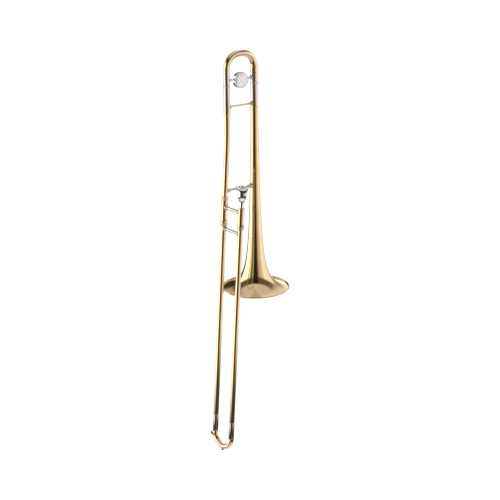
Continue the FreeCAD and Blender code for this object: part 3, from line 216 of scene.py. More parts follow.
# %% Studio: tent, floor and lamp
def make_studio_light():
    world = bpy.data.worlds.new("studio tent")
    scene.world = world
    world.use_nodes = True
    tree = world.node_tree
    tree.nodes.clear()
    coords = tree.nodes.new("ShaderNodeTexCoord")
    split = tree.nodes.new("ShaderNodeSeparateXYZ")
    tree.links.new(coords.outputs["Generated"], split.inputs[0])
    # Bearing of a ray, measured from the direction towards the camera, positive to its right.
    sin_az, cos_az = math.sin(CAMERA_AZ), math.cos(CAMERA_AZ)
    x, y = split.outputs[0], split.outputs[1]
    right = math_node(tree, "SUBTRACT", math_node(tree, "MULTIPLY", x, cos_az),
                      math_node(tree, "MULTIPLY", y, sin_az))
    near = math_node(tree, "ADD", math_node(tree, "MULTIPLY", x, -sin_az),
                     math_node(tree, "MULTIPLY", y, -cos_az))
    bearing = math_node(tree, "ARCTAN2", right, near)
    share = math_node(tree, "MULTIPLY_ADD", bearing, 1 / (2 * math.pi), 0.5)
    height = split.outputs[2]
    room = tent_mix(tree, height, BAND_BLEND, bearing_band(tree, share, LOW_BAND),
                    bearing_band(tree, share, HIGH_BAND))
    room = tent_mix(tree, height, CEILING_BLEND, room, plain(CEILING_LEVEL))
    tent = tent_mix(tree, height, SHADE_BLEND, warm(SHADE_LEVEL), room)
    tent = tent_mix(tree, height, UNDER_BLEND, plain(UNDER_LEVEL), tent)
    seen = tree.nodes.new("ShaderNodeMix")         # the lens itself sees a plain white backdrop
    seen.data_type = "RGBA"
    seen.inputs[7].default_value = (*plain(BACKDROP_LEVEL), 1)
    sight = tree.nodes.new("ShaderNodeLightPath").outputs["Is Camera Ray"]
    tree.links.new(sight, seen.inputs["Factor"])
    tree.links.new(tent, seen.inputs[6])
    light = add_node(tree, "ShaderNodeBackground", Strength=1.0)
    tree.links.new(seen.outputs[2], light.inputs["Color"])
    out = tree.nodes.new("ShaderNodeOutputWorld")
    tree.links.new(light.outputs[0], out.inputs["Surface"])


def add_floor():
    mesh = bpy.data.meshes.new("floor")
    half, level = 60.0, -1.12      # metres; below the slide at its full reach
    mesh.from_pydata([(-half, -half, level), (half, -half, level), (half, half, level),
                      (-half, half, level)], [], [(0, 1, 2, 3)])
    floor = bpy.data.objects.new("floor", mesh)
    scene.collection.objects.link(floor)
    material = bpy.data.materials.new("floor white")
    material.use_nodes = True
    shader = material.node_tree.nodes["Principled BSDF"]
    shader.inputs["Base Color"].default_value = (0.93, 0.93, 0.93, 1)
    shader.inputs["Roughness"].default_value = 0.9
    mesh.materials.append(material)
    floor.visible_glossy = False


def add_skylight():
    """Broad soft light from above for the floor and the matt pieces; metal shows the tent only."""
    lamp = bpy.data.objects.new("skylight", bpy.data.lights.new("skylight", "SUN"))
    lamp.data.angle, lamp.data.energy = math.radians(60), 2.4
    lamp.visible_glossy = False
    lamp.rotation_euler = (math.radians(12), math.radians(-10), 0)
    scene.collection.objects.link(lamp)


make_studio_light()
add_floor()
add_skylight()
scene.view_settings.view_transform = "Standard"
print("studio: tent, floor and skylight")

# %% [markdown]
# ## Metals
# Lacquered brass is a mirror with a warm tint under a clear hard skin. Hand buffing leaves very
# fine waves, and the lacquer is a little thicker in places. Each metal is one node recipe: a
# slow noise moves the tint and the gloss, and a fine noise drawn out along the polishing
# direction gives a faint bump. Constants stay on the shader's own sockets.


# %% Metal recipe
def metal(name, tint, worn, rough, grain=(900, 900, 60), bump=0.015, coat=0.0, waves=18.0):
    """Polished metal: tint and worn are colours, grain is the polish's scale along X, Y, Z."""
    material = bpy.data.materials.new(name)
    material.use_nodes = True
    tree = material.node_tree
    shader = tree.nodes["Principled BSDF"]
    shader.inputs["Metallic"].default_value = 1.0
    shader.inputs["Coat Weight"].default_value = coat
    shader.inputs["Coat Roughness"].default_value = 0.03
    coords = tree.nodes.new("ShaderNodeTexCoord")
    slow = add_node(tree, "ShaderNodeTexNoise", Scale=waves, Detail=3.0)
    tree.links.new(coords.outputs["Object"], slow.inputs["Vector"])
    colour = ramp_node(tree, slow.outputs["Fac"], ((0.3, worn), (0.62, tint)))
    tree.links.new(colour, shader.inputs["Base Color"])
    stretch = add_node(tree, "ShaderNodeMapping", Scale=grain)
    tree.links.new(coords.outputs["Object"], stretch.inputs["Vector"])
    fine = add_node(tree, "ShaderNodeTexNoise", Scale=1.0, Detail=4.0)
    tree.links.new(stretch.outputs[0], fine.inputs["Vector"])
    gloss = tree.nodes.new("ShaderNodeMapRange")
    gloss.inputs["To Min"].default_value = rough * 0.7
    gloss.inputs["To Max"].default_value = rough * 1.5
    tree.links.new(fine.outputs["Fac"], gloss.inputs["Value"])
    tree.links.new(gloss.outputs[0], shader.inputs["Roughness"])
    relief = add_node(tree, "ShaderNodeBump", Strength=bump, Distance=0.0002)
    tree.links.new(fine.outputs["Fac"], relief.inputs["Height"])
    tree.links.new(relief.outputs[0], shader.inputs["Normal"])
    return material


print("metal recipe ready")


# %% Rubber and cork recipe
def soft_stuff(name, light, dark, rough, scale, bump):
    """Rubber or cork: two tones of grain, rough, with a bump."""
    material = bpy.data.materials.new(name)
    material.use_nodes = True
    tree = material.node_tree
    shader = tree.nodes["Principled BSDF"]
    shader.inputs["Roughness"].default_value = rough
    coords = tree.nodes.new("ShaderNodeTexCoord")
    grain = add_node(tree, "ShaderNodeTexVoronoi", Scale=scale)
    tree.links.new(coords.outputs["Object"], grain.inputs["Vector"])
    noise = add_node(tree, "ShaderNodeTexNoise", Scale=scale * 0.6, Detail=4.0)
    tree.links.new(coords.outputs["Object"], noise.inputs["Vector"])
    tree.links.new(ramp_node(tree, noise.outputs["Fac"], ((0.35, dark), (0.65, light))),
                   shader.inputs["Base Color"])
    relief = add_node(tree, "ShaderNodeBump", Strength=bump, Distance=0.0003)
    tree.links.new(grain.outputs["Distance"], relief.inputs["Height"])
    tree.links.new(relief.outputs[0], shader.inputs["Normal"])
    return material


print("soft recipe ready")

# %% The materials
BRASS = metal("lacquered brass", (0.92, 0.72, 0.44), (0.87, 0.66, 0.37), 0.06, coat=0.3)
BELL_BRASS = metal("spun bell brass", (0.92, 0.71, 0.42), (0.86, 0.64, 0.35), 0.05,
                   grain=(60, 60, 1400), bump=0.01, coat=0.3)
NICKEL = metal("nickel silver", (0.80, 0.70, 0.65), (0.72, 0.63, 0.58), 0.09)
# A darker, rougher copy of the nickel silver, for the oversleeves.
SLEEVE = metal("darker nickel silver", (0.62, 0.54, 0.46), (0.52, 0.45, 0.38), 0.16)
PLATE = metal("bright plating", (0.88, 0.87, 0.87), (0.74, 0.73, 0.73), 0.08, bump=0.02)
CHROME = metal("hard chrome", (0.86, 0.87, 0.89), (0.80, 0.81, 0.83), 0.05)
SILVER = metal("silver plate", (0.95, 0.94, 0.92), (0.88, 0.87, 0.84), 0.05)
STEEL = metal("screw steel", (0.60, 0.60, 0.61), (0.46, 0.46, 0.47), 0.2, bump=0.05)
RUBBER = soft_stuff("black rubber", (0.035, 0.035, 0.035), (0.012, 0.012, 0.012), 0.62, 900, 0.2)
CORK = soft_stuff("cork", (0.55, 0.38, 0.22), (0.36, 0.22, 0.12), 0.85, 1600, 0.6)
print(len(bpy.data.materials), "materials")

# %% [markdown]
# ## The lathe
# Ferrules, sleeves, tubes, feet and the mouthpiece are all turned: one outline spun about an
# axis. The outline is a closed loop of (radius, height) points. A maker breaks every sharp edge
# with a file, so the corners are eased first, and that thin bevel is what catches the light.


# %% Lathe tool
def eased(outline, radius):
    """The closed outline with each corner off the axis replaced by a curve of three points."""
    points = [np.array(p, float) for p in outline]
    result = []
    for before, corner, after in zip(points[-1:] + points[:-1], points, points[1:] + points[:1]):
        if corner[0] < 1e-6:
            result.append(corner)
            continue
        cut = []
        for other in (before, after):
            length = np.linalg.norm(other - corner)
            cut.append(corner + (other - corner) * min(radius / length, 0.4))
        result += [cut[0], corner * 0.5 + (cut[0] + cut[1]) * 0.25, cut[1]]
    return result


def softened(outline, rounds=2):
    """Corner cutting, for closed outlines that flow."""
    points = [np.array(p, float) for p in outline]
    for _ in range(rounds):
        cut = []
        for a, b in zip(points, points[1:] + points[:1]):
            cut += [a * 0.75 + b * 0.25, a * 0.25 + b * 0.75]
        points = cut
    return points


def link_piece(name, mesh, material, sharp):
    """Gives a mesh its material and shading and puts it in the scene."""
    mesh.name = name
    mesh.materials.clear()
    mesh.materials.append(material)
    mesh.shade_smooth()
    mesh.set_sharp_from_angle(angle=math.radians(sharp))
    piece = bpy.data.objects.new(name, mesh)
    scene.collection.objects.link(piece)
    return piece


def spin(name, outline, place, material, steps=64, sharp=35.0):
    """Turned piece. place is a matrix in millimetres; the lathe axis is its Z."""
    vertices, rings = [], []
    for radius, height in outline:
        if radius < 1e-6:
            rings.append([len(vertices)] * steps)
            vertices.append(Vector((0, 0, height)))
            continue
        rings.append(list(range(len(vertices), len(vertices) + steps)))
        for step in range(steps):
            angle = 2 * math.pi * step / steps
            vertices.append(Vector((radius * math.cos(angle), radius * math.sin(angle), height)))
    faces = []
    for low, high in zip(rings, rings[1:] + rings[:1]):
        for step in range(steps):
            after = (step + 1) % steps
            corners = [low[step], low[after], high[after], high[step]]
            corners = [c for i, c in enumerate(corners) if c not in corners[:i]]
            if len(corners) > 2:
                faces.append(corners)
    following = list(outline[1:]) + [outline[0]]
    area = sum(a[0] * b[1] - b[0] * a[1] for a, b in zip(outline, following))
    if area < 0:
        faces = [face[::-1] for face in faces]
    mesh = bpy.data.meshes.new(name)
    mesh.from_pydata([(place @ v) * MM for v in vertices], [], faces)
    return link_piece(name, mesh, material, sharp)


print("lathe ready")


# %% Seating a piece on its body
def seat(piece, body, slot, *nodes):
    """Puts a finished piece on its body, in place of the plain nodes."""
    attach(piece, body)
    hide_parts(*nodes)
    return piece


def turned(name, outline, place, material, body, slot, nodes, ease=0.25, steps=64):
    """Turns a piece with eased edges and seats it."""
    return seat(spin(name, eased(outline, ease), place, material, steps), body, slot, *nodes)


def sleeve_outline(r_out, r_in, low, high):
    return [(r_in, low), (r_out, low), (r_out, high), (r_in, high)]


print("seating ready")

# %% [markdown]
# ## The bell
# The bell is spun over a mandrel whose radius follows one rule: it falls off as a power of the
# height above the rim. A node tree is the natural way to hold a rule. It draws a straight line
# up the axis, crowds its points towards the rim where the shape turns fast, and sweeps a circle
# whose size is the rule's radius: once for the outer skin, once for the inner. The two skins
# are then joined at the rim and at the tail, and a rolled bead hides the wire.


# %% Node tree helpers for geometry
def new_tree(name, *floats):
    """Geometry node group with named number inputs; returns it with its input and output nodes."""
    tree = bpy.data.node_groups.new(name, "GeometryNodeTree")
    tree.interface.new_socket("Geometry", in_out="INPUT", socket_type="NodeSocketGeometry")
    for label, value in floats:
        kind = "NodeSocketInt" if isinstance(value, int) else "NodeSocketFloat"
        tree.interface.new_socket(label, in_out="INPUT", socket_type=kind).default_value = value
    tree.interface.new_socket("Geometry", in_out="OUTPUT", socket_type="NodeSocketGeometry")
    return tree, tree.nodes.new("NodeGroupInput"), tree.nodes.new("NodeGroupOutput")


def node(tree, kind, **sockets):
    """New geometry node; a value may be a number or another node's output."""
    made = tree.nodes.new(kind)
    for name, value in sockets.items():
        socket = made.inputs[name.replace("_", " ")]
        if hasattr(value, "is_output"):
            tree.links.new(value, socket)
        else:
            socket.default_value = value
    return made


def finish_tree(tree, outputs, geometry, material, tolerance=0.00002):
    """Merge, realize and give the material: the end of every tree here."""
    merged = node(tree, "GeometryNodeMergeByDistance", Distance=tolerance)
    tree.links.new(geometry, merged.inputs["Geometry"])
    real = tree.nodes.new("GeometryNodeRealizeInstances")
    tree.links.new(merged.outputs[0], real.inputs[0])
    painted = node(tree, "GeometryNodeSetMaterial", Material=material)
    tree.links.new(real.outputs[0], painted.inputs["Geometry"])
    tree.links.new(painted.outputs[0], outputs.inputs[0])


def grow(name, tree, values, source, material, sharp=35.0):
    """Runs a tree on a mesh or curve and returns the result as a plain mesh piece."""
    holder = bpy.data.objects.new(name + " source", source)
    scene.collection.objects.link(holder)
    modifier = holder.modifiers.new("grow", "NODES")
    modifier.node_group = tree
    for item in tree.interface.items_tree:
        if item.in_out == "INPUT" and item.name in values:
            modifier[item.identifier] = values[item.name]
    graph = bpy.context.evaluated_depsgraph_get()
    mesh = bpy.data.meshes.new_from_object(holder.evaluated_get(graph))
    bpy.data.objects.remove(holder)
    return link_piece(name, mesh, material, sharp)


print("geometry helpers ready")


# %% Bell flare tree
RIM_CROWDING = 2.6      # the higher, the closer the rings stand at the rim


def flare_rule(tree, height, inputs):
    """Radius at a height: rim * ((height + offset) / offset) ** -power."""
    offset = inputs.outputs["Flare Offset"]
    ratio = math_node(tree, "DIVIDE", math_node(tree, "ADD", height, offset), offset)
    fall = math_node(tree, "MULTIPLY", inputs.outputs["Flare Power"], -1.0)
    falloff = math_node(tree, "POWER", ratio, fall)
    return math_node(tree, "MULTIPLY", inputs.outputs["Rim Radius"], falloff)


def bell_tree():
    tree, inputs, outputs = new_tree(
        "bell flare", ("Rim Radius", 0.1), ("Flare Offset", 0.013), ("Flare Power", 0.6),
        ("Height", 0.543), ("Wall", 0.0006), ("Bead Radius", 0.0019), ("Bead Centre", 0.0981),
        ("Rings", 150), ("Sides", 160))
    circle = node(tree, "GeometryNodeCurvePrimitiveCircle", Resolution=inputs.outputs["Sides"],
                  Radius=1.0)
    join = tree.nodes.new("GeometryNodeJoinGeometry")
    line = tree.nodes.new("GeometryNodeCurvePrimitiveLine")
    fine = node(tree, "GeometryNodeResampleCurve", Count=inputs.outputs["Rings"])
    tree.links.new(line.outputs[0], fine.inputs["Curve"])
    along = tree.nodes.new("GeometryNodeSplineParameter").outputs["Factor"]
    crowded = math_node(tree, "POWER", along, RIM_CROWDING)
    height = math_node(tree, "MULTIPLY", crowded, inputs.outputs["Height"])
    up = tree.nodes.new("ShaderNodeCombineXYZ")
    tree.links.new(height, up.inputs["Z"])
    spine = tree.nodes.new("GeometryNodeSetPosition")
    tree.links.new(fine.outputs[0], spine.inputs["Geometry"])
    tree.links.new(up.outputs[0], spine.inputs["Position"])
    rise = tree.nodes.new("ShaderNodeSeparateXYZ")
    tree.links.new(tree.nodes.new("GeometryNodeInputPosition").outputs[0], rise.inputs[0])
    inner_r = flare_rule(tree, rise.outputs["Z"], inputs)
    outer_r = math_node(tree, "ADD", inner_r, inputs.outputs["Wall"])
    for radius, flip in ((inner_r, False), (outer_r, True)):
        skin = node(tree, "GeometryNodeCurveToMesh", Curve=spine.outputs[0],
                    Profile_Curve=circle.outputs[0], Scale=radius)
        if flip:
            skin = node(tree, "GeometryNodeFlipFaces", Mesh=skin.outputs[0])
        tree.links.new(skin.outputs[0], join.inputs[0])
    path = node(tree, "GeometryNodeCurvePrimitiveCircle", Resolution=inputs.outputs["Sides"],
                Radius=inputs.outputs["Bead Centre"])
    ring = node(tree, "GeometryNodeCurvePrimitiveCircle", Resolution=20,
                Radius=inputs.outputs["Bead Radius"])
    bead = node(tree, "GeometryNodeCurveToMesh", Curve=path.outputs[0],
                Profile_Curve=ring.outputs[0])
    lifted = tree.nodes.new("GeometryNodeTransform")
    lift = tree.nodes.new("ShaderNodeCombineXYZ")
    tree.links.new(inputs.outputs["Bead Radius"], lift.inputs["Z"])
    tree.links.new(bead.outputs[0], lifted.inputs["Geometry"])
    tree.links.new(lift.outputs[0], lifted.inputs["Translation"])
    tree.links.new(lifted.outputs[0], join.inputs[0])
    finish_tree(tree, outputs, join.outputs[0], BELL_BRASS, tolerance=0.000001)
    return tree


print("bell tree ready")


# %% Closing the bell's two skins
def close_shell(piece, levels):
    """Joins the inner skin to the outer one at each open level and turns all faces outward."""
    edit = bmesh.new()
    edit.from_mesh(piece.data)
    for level in levels:
        loops = [edge for edge in edit.edges if edge.is_boundary
                 and all(abs(vertex.co.z - level * MM) < 0.0002 for vertex in edge.verts)]
        bmesh.ops.bridge_loops(edit, edges=loops)
    bmesh.ops.recalc_face_normals(edit, faces=edit.faces)
    print("open edges left:", sum(edge.is_boundary for edge in edit.edges),
          " volume, mm3:", round(edit.calc_volume() * 1e9))
    edit.to_mesh(piece.data)
    edit.free()


print("bell closing ready")

# %% The bell
FLARE_POWER = 0.6
for _ in range(20):       # finds the power that gives the flare the tail's radius at its height
    slope = math.atan(FLARE_OFFSET / (FLARE_POWER * (RIM_R - BEAD_R)))
    START_R = RIM_R - BEAD_R + BEAD_R * math.sin(slope)
    FLARE_POWER = math.log(START_R / TAIL_R) / math.log((TAIL_Z + FLARE_OFFSET) / FLARE_OFFSET)
bell = grow("bell", bell_tree(), {
    "Rim Radius": START_R * MM, "Flare Offset": FLARE_OFFSET * MM, "Flare Power": FLARE_POWER,
    "Height": TAIL_Z * MM, "Wall": BELL_WALL * MM, "Bead Radius": BEAD_R * MM,
    "Bead Centre": (RIM_R - BEAD_R) * MM, "Rings": 150, "Sides": 160},
    bpy.data.meshes.new("none"), BELL_BRASS, sharp=60.0)
close_shell(bell, (0.0, TAIL_Z))
seat(bell, "bell_section", "lacquered_brass", "bell_flare", "bell_stem")
print("bell:", len(bell.data.polygons), "faces, rim radius",
      round(max(v.co.x for v in bell.data.vertices) * 1000, 2))


def flare_radius(height):
    return START_R * ((height + FLARE_OFFSET) / FLARE_OFFSET) ** -FLARE_POWER


# %% [markdown]
# ## Bent tubes
# The gooseneck, the tuning bow and the slide bow are tubes bent along a route, and the first two
# also widen as they go. One node tree serves all three: it sweeps a circle along the route and
# scales it from the start radius to the end radius.


# %% Tube along a route
def tube_tree():
    tree, inputs, outputs = new_tree("tube along a route", ("Start Radius", 0.008),
                                     ("End Radius", 0.008), ("Sides", 64))
    circle = node(tree, "GeometryNodeCurvePrimitiveCircle", Resolution=inputs.outputs["Sides"],
                  Radius=1.0)
    along = tree.nodes.new("GeometryNodeSplineParameter").outputs["Factor"]
    span = math_node(tree, "SUBTRACT", inputs.outputs["End Radius"], inputs.outputs["Start Radius"])
    radius = math_node(tree, "MULTIPLY_ADD", along, span, inputs.outputs["Start Radius"])
    tube = node(tree, "GeometryNodeCurveToMesh", Curve=inputs.outputs["Geometry"],
                Profile_Curve=circle.outputs[0], Scale=radius, Fill_Caps=True)
    finish_tree(tree, outputs, tube.outputs[0], BRASS, tolerance=0.000001)
    return tree


TUBE = tube_tree()


def bent_tube(name, route, start_r, end_r, material, sides=64):
    curve = bpy.data.curves.new(name, "CURVE")
    curve.dimensions = "3D"
    spline = curve.splines.new("POLY")
    spline.points.add(len(route) - 1)
    for point, place in zip(spline.points, route):
        point.co = (*(place * MM), 1.0)
    return grow(name, TUBE, {"Start Radius": start_r * MM, "End Radius": end_r * MM,
                             "Sides": sides}, curve, material)


def arc_points(centre, radius, first, last, count):
    """Points in the XZ plane, angles in degrees from +X."""
    for step in range(count + 1):
        angle = math.radians(first + (last - first) * step / count)
        yield Vector((centre[0] + radius * math.cos(angle), 0,
                      centre[1] + radius * math.sin(angle)))


print("tube tree ready")


# %% Gooseneck and bows
LEG_TOP_Z = 652.0


def gooseneck_route():
    """Straight up the slide's axis, then one wide bend into the neck sleeve's axis."""
    bend_r = 1500.0
    reach = bend_r * math.tan(SPLAY / 2)
    up = Vector((math.sin(SPLAY), 0, math.cos(SPLAY)))
    start = Vector((NECK_X, 0, BEND_Z)) + up * (NECK_FOOT_S - BEND_Z)
    points = [start + up * d for d in (0, 25, 50, 75, 100, 120)]
    points += list(arc_points((NECK_X - bend_r, BEND_Z + reach), bend_r,
                              -math.degrees(SPLAY), 0, 16))
    return points + [Vector((NECK_X, 0, TAIL_Z))]


def tuning_route():
    """Two quarter turns with a short straight between them."""
    corner, tangent = 42.0, 664.0
    points = [Vector((NECK_X, 0, LEG_TOP_Z))]
    points += list(arc_points((NECK_X + corner, tangent), corner, 180, 90, 28))
    points += list(arc_points((-corner, tangent), corner, 90, 0, 28))
    return points + [Vector((0, 0, LEG_TOP_Z))]


gooseneck = bent_tube("gooseneck", gooseneck_route(), NECK_FOOT_R, NECK_TOP_R, BRASS)
seat(gooseneck, "bell_section", "lacquered_brass", "gooseneck")
tuning_bow = bent_tube("tuning_bow", tuning_route(), NECK_LEG_R, BELL_LEG_R, BRASS)
seat(tuning_bow, "tuning_slide", "lacquered_brass", "tuning_bow")
half_circle = arc_points((SLIDE_X / 2, OUTER_FOOT_S), SLIDE_X / 2, 180, 360, 48)
slide_bow = bent_tube("slide_bow", [SLIDE @ p for p in half_circle], BOW_R, BOW_R, BRASS)
seat(slide_bow, "outer_slide", "lacquered_brass", "slide_bow")
print("bent tubes:", [len(o.data.polygons) for o in (gooseneck, tuning_bow, slide_bow)])

# %% [markdown]
# ## Bell section tubes and rings
# The tuning slide's sleeves are drawn nickel silver, a greyer and slightly pink metal, with a
# rolled bead at the mouth. A brass ring covers each soldered joint.

# %% Sleeves, rings and the tenon
TAIL_FERRULE_BORE = 10.95
for side, x, bore, r_out in (("bell_side", 0.0, BELL_LEG_R + 0.05, BELL_SLEEVE_R),
                             ("neck_side", NECK_X, NECK_LEG_R + 0.05, NECK_SLEEVE_R)):
    turned(f"tuning_sleeve_{side}", [
        (bore, TAIL_Z), (r_out, TAIL_Z), (r_out, 616.0), (r_out + 0.8, 616.6),
        (r_out + 0.8, 619.4), (r_out + 0.2, 620.0), (bore, 620.0)], shifted(STAND, x), NICKEL,
        "bell_section", "nickel_silver", [f"tuning_sleeve_{side}"])
    top_bore = r_out + SOLDER_GAP
    name, foot_bore = (("bell_tail_ferrule", TAIL_FERRULE_BORE) if x == 0
                       else ("neck_ferrule", top_bore))
    ring_r = foot_bore + 0.6
    turned(name, [
        (foot_bore, 537.0), (ring_r - 0.4, 537.0), (ring_r, 537.6), (ring_r, 548.4),
        (ring_r - 0.4, 549.0), (top_bore, 549.0), (top_bore, TAIL_Z), (foot_bore, TAIL_Z)],
        shifted(STAND, x), BRASS, "bell_section", "lacquered_brass", [name])

turned("neck_tenon", [
    (6.5, 268.0), (7.7, 268.0), (8.1, 296.2), (9.1, 296.2), (9.1, 298.6), (7.31, 298.6),
    (7.31, 287.97), (6.5, 287.97)], SLIDE, NICKEL, "bell_section", "nickel_silver", ["neck_tenon"])
print("sleeves, rings and tenon made")

# %% [markdown]
# ## Cross rods
# Each brace is a turned rod whose ends swell into a foot. The foot is cut like a saddle to the
# tube it is soldered to, so it holds the tube from the side and never reaches into its bore.


# %% Feet cut to their tubes
FOOT_SINK, SADDLE_GAP = 1.6, 0.02       # how far a foot reaches round its tube, and the gap to it


def end_disc(radius, level):
    """Points across a foot's end face, close enough together to follow the tube."""
    return [(radius * share, level) for share in (0, 0.15, 0.3, 0.45, 0.6, 0.72, 0.85, 1.0)]


def cross_rod(x0, r0, x1, r1, radius, foot_r, foot_length):
    """Outline of a rod with a foot on each of two tubes, given by their places and radii."""
    a, b = x0 + r0, x1 - r1
    half = [(foot_r, 0.9), (foot_r * 0.93, 1.5), (foot_r * 0.62, 2.6),
            (radius * 1.45, foot_length * 0.55), (radius, foot_length)]
    return (end_disc(foot_r * 0.96, a - FOOT_SINK) + [(r, a + x) for r, x in half]
            + [(r, b - x) for r, x in reversed(half)]
            + end_disc(foot_r * 0.96, b + FOOT_SINK)[::-1])


def cut_to_tubes(piece, place, *tubes):
    """Pushes what lies inside each tube (x and radius) out to its skin, like a saddle joint."""
    back = place.inverted()
    for vertex in piece.data.vertices:
        spot = back @ (vertex.co / MM)
        for x, radius in tubes:
            across = spot.x - x
            skin = radius + SADDLE_GAP
            if math.hypot(across, spot.y) < skin:
                spot.x = x + math.copysign(math.sqrt(skin ** 2 - spot.y ** 2), across)
        vertex.co = place @ spot * MM


print("foot tools ready")

# %% Upper brace and weight rod
for name, level, metal_used, body, slot, neck_r, bell_r, foot_r, foot_length in (
        ("upper_brace", UPPER_Z, BRASS, "bell_section", "lacquered_brass", NECK_SLEEVE_R,
         BELL_SLEEVE_R, 6.3, 11.0),
        ("weight_rod", WEIGHT_Z, PLATE, "tuning_slide", "weight_plating",
         NECK_LEG_R + COLLAR_WALL, BELL_LEG_R + COLLAR_WALL, 6.2, 13.0)):
    rod = turned(name, cross_rod(NECK_X, neck_r, 0, bell_r, 2.4, foot_r, foot_length),
                 shifted(STAND, z=level) @ ALONG_X, metal_used, body, slot, [name], ease=0.4)
    cut_to_tubes(rod, STAND, (NECK_X, neck_r), (0, bell_r))
print("upper brace and weight rod made")

# %% Lower brace
neck_growth = (NECK_TOP_R - NECK_FOOT_R) / (TAIL_Z - NECK_FOOT_S)
neck_face = (NECK_X + math.tan(SPLAY) * (LOWER_Z - BEND_Z) + NECK_FOOT_R
             + neck_growth * (LOWER_Z - NECK_FOOT_S))
bell_face = -flare_radius(LOWER_Z) - BELL_WALL


def foot_outline(face, inwards, sink, foot_r, rod_r, length, depth):
    """A foot from its tube's face inwards, with a hole of the given depth for the rod."""
    bore = rod_r + SOLDER_GAP
    at = [face + inwards * d for d in (-sink, 1.4, 2.9, length * 0.6, length, length,
                                       length - depth, length - depth)]
    radii = (foot_r, foot_r, foot_r * 0.74, rod_r + 1.5, rod_r + 1.0, bore, bore, 0)
    return end_disc(foot_r, at[0]) + list(zip(radii, at))[1:]


for side, face, inwards in (("neck_side", neck_face, 1), ("bell_side", bell_face, -1)):
    outline = foot_outline(face, inwards, 1.8, 7.2, 3.3, 14.0, 8.0)
    foot = turned(f"lower_brace_foot_{side}", outline, shifted(STAND, z=LOWER_Z) @ ALONG_X,
                  NICKEL, "bell_section", "nickel_silver", [f"lower_brace_flange_{side}"],
                  ease=0.4)
    cut_to_tubes(foot, STAND, (NECK_X, neck_face - NECK_X) if inwards > 0 else (0, -bell_face))
a, b = neck_face + 6.03, bell_face - 6.03
middle = (a + b) / 2
turned("lower_brace_tube", [
    (2.6, a), (3.3, a), (3.3, middle - 3.4), (4.2, middle - 2.4), (4.6, middle - 1.2),
    (4.6, middle + 1.2), (4.2, middle + 2.4), (3.3, middle + 3.4), (3.3, b), (2.6, b)],
    shifted(STAND, z=LOWER_Z) @ ALONG_X, NICKEL, "bell_section", "nickel_silver",
    ["lower_brace_tube"])
print("lower brace", round(b - a), "mm long")

# %% [markdown]
# ## Knurled rings
# The lock nut, the slide lock ring and the balance weight are gripped by the fingers, so their
# rims are knurled. Knurling is a rib repeated round a circle: a node tree makes it from a count,
# a radius and the rib's size.


# %% Knurl tree
def knurl_tree():
    tree, inputs, outputs = new_tree("knurl", ("Count", 24), ("Radius", 0.010), ("Height", 0.01),
                                     ("Rib", 0.0016), ("Depth", 0.0012), ("Level", 0.0))
    circle = node(tree, "GeometryNodeCurvePrimitiveCircle", Resolution=inputs.outputs["Count"],
                  Radius=inputs.outputs["Radius"])
    rib = node(tree, "GeometryNodeMeshCylinder", Vertices=8, Radius=0.5, Depth=1.0)
    size = tree.nodes.new("ShaderNodeCombineXYZ")
    tree.links.new(inputs.outputs["Depth"], size.inputs["X"])
    tree.links.new(inputs.outputs["Rib"], size.inputs["Y"])
    tree.links.new(inputs.outputs["Height"], size.inputs["Z"])
    placed = node(tree, "GeometryNodeInstanceOnPoints", Points=circle.outputs[0],
                  Instance=rib.outputs[0], Scale=size.outputs[0])
    spread = tree.nodes.new("FunctionNodeAlignRotationToVector")
    spread.axis = "X"
    tree.links.new(tree.nodes.new("GeometryNodeInputPosition").outputs[0], spread.inputs["Vector"])
    tree.links.new(spread.outputs[0], placed.inputs["Rotation"])
    lifted = tree.nodes.new("GeometryNodeTransform")
    lift = tree.nodes.new("ShaderNodeCombineXYZ")
    tree.links.new(inputs.outputs["Level"], lift.inputs["Z"])
    tree.links.new(lift.outputs[0], lifted.inputs["Translation"])
    tree.links.new(placed.outputs[0], lifted.inputs["Geometry"])
    finish_tree(tree, outputs, lifted.outputs[0], BRASS, tolerance=0.0000001)
    return tree


KNURL = knurl_tree()
print("knurl tree ready")


# %% Turned rings with knurling
def joined(pieces):
    with bpy.context.temp_override(active_object=pieces[0], selected_editable_objects=list(pieces)):
        bpy.ops.object.join()


def knurled(name, outline, place, count, radius, low, high, material, body, slot, extra=()):
    """A turned ring with ribs round it between two heights, joined into one piece."""
    ring = spin(name, eased(outline, 0.25), place, material, 96)
    ribs = grow(name + " ribs", KNURL, {
        "Count": count, "Radius": radius * MM, "Height": (high - low) * MM,
        "Rib": 2 * math.pi * radius / count * 0.66 * MM, "Depth": 0.0009,
        "Level": (low + high) / 2 * MM}, bpy.data.meshes.new("none"), material, 50)
    ribs.data.transform(Matrix.Scale(MM, 4) @ place @ Matrix.Scale(1 / MM, 4))
    joined([ring, ribs, *extra])
    return seat(ring, body, slot, name)


print("knurled ring tool ready")

# %% [markdown]
# ## Tuning slide
# The tuning slide's legs are nickel silver and end in brass ferrules that carry the bow. Its
# balance weight is a plated drum in two halves, clamped on the rod by a screw from behind. It is
# faced on a lathe, so the front has shallow rings, and its edge is knurled.

# %% Legs, ferrules and collars
for side, x, leg_r in (("bell_side", 0.0, BELL_LEG_R), ("neck_side", NECK_X, NECK_LEG_R)):
    place = shifted(STAND, x)
    for name, outline in (
            (f"tuning_leg_{side}", sleeve_outline(leg_r, leg_r - 0.5, 547.0, LEG_TOP_Z)),
            (f"tuning_collar_{side}", sleeve_outline(leg_r + COLLAR_WALL, leg_r + SOLDER_GAP,
                                                     621.5, 647.0))):
        turned(name, outline, place, NICKEL, "tuning_slide", "nickel_silver", [name])
    bore, top = leg_r + 0.15, 667.0
    turned(f"tuning_ferrule_{side}", [
        (bore, 647.2), (bore + 0.8, 647.2), (bore + 0.8, top - 1.2), (bore + 0.3, top),
        (bore, top)], place, BRASS, "tuning_slide", "lacquered_brass", [f"tuning_ferrule_{side}"])
print("tuning slide tubes made")

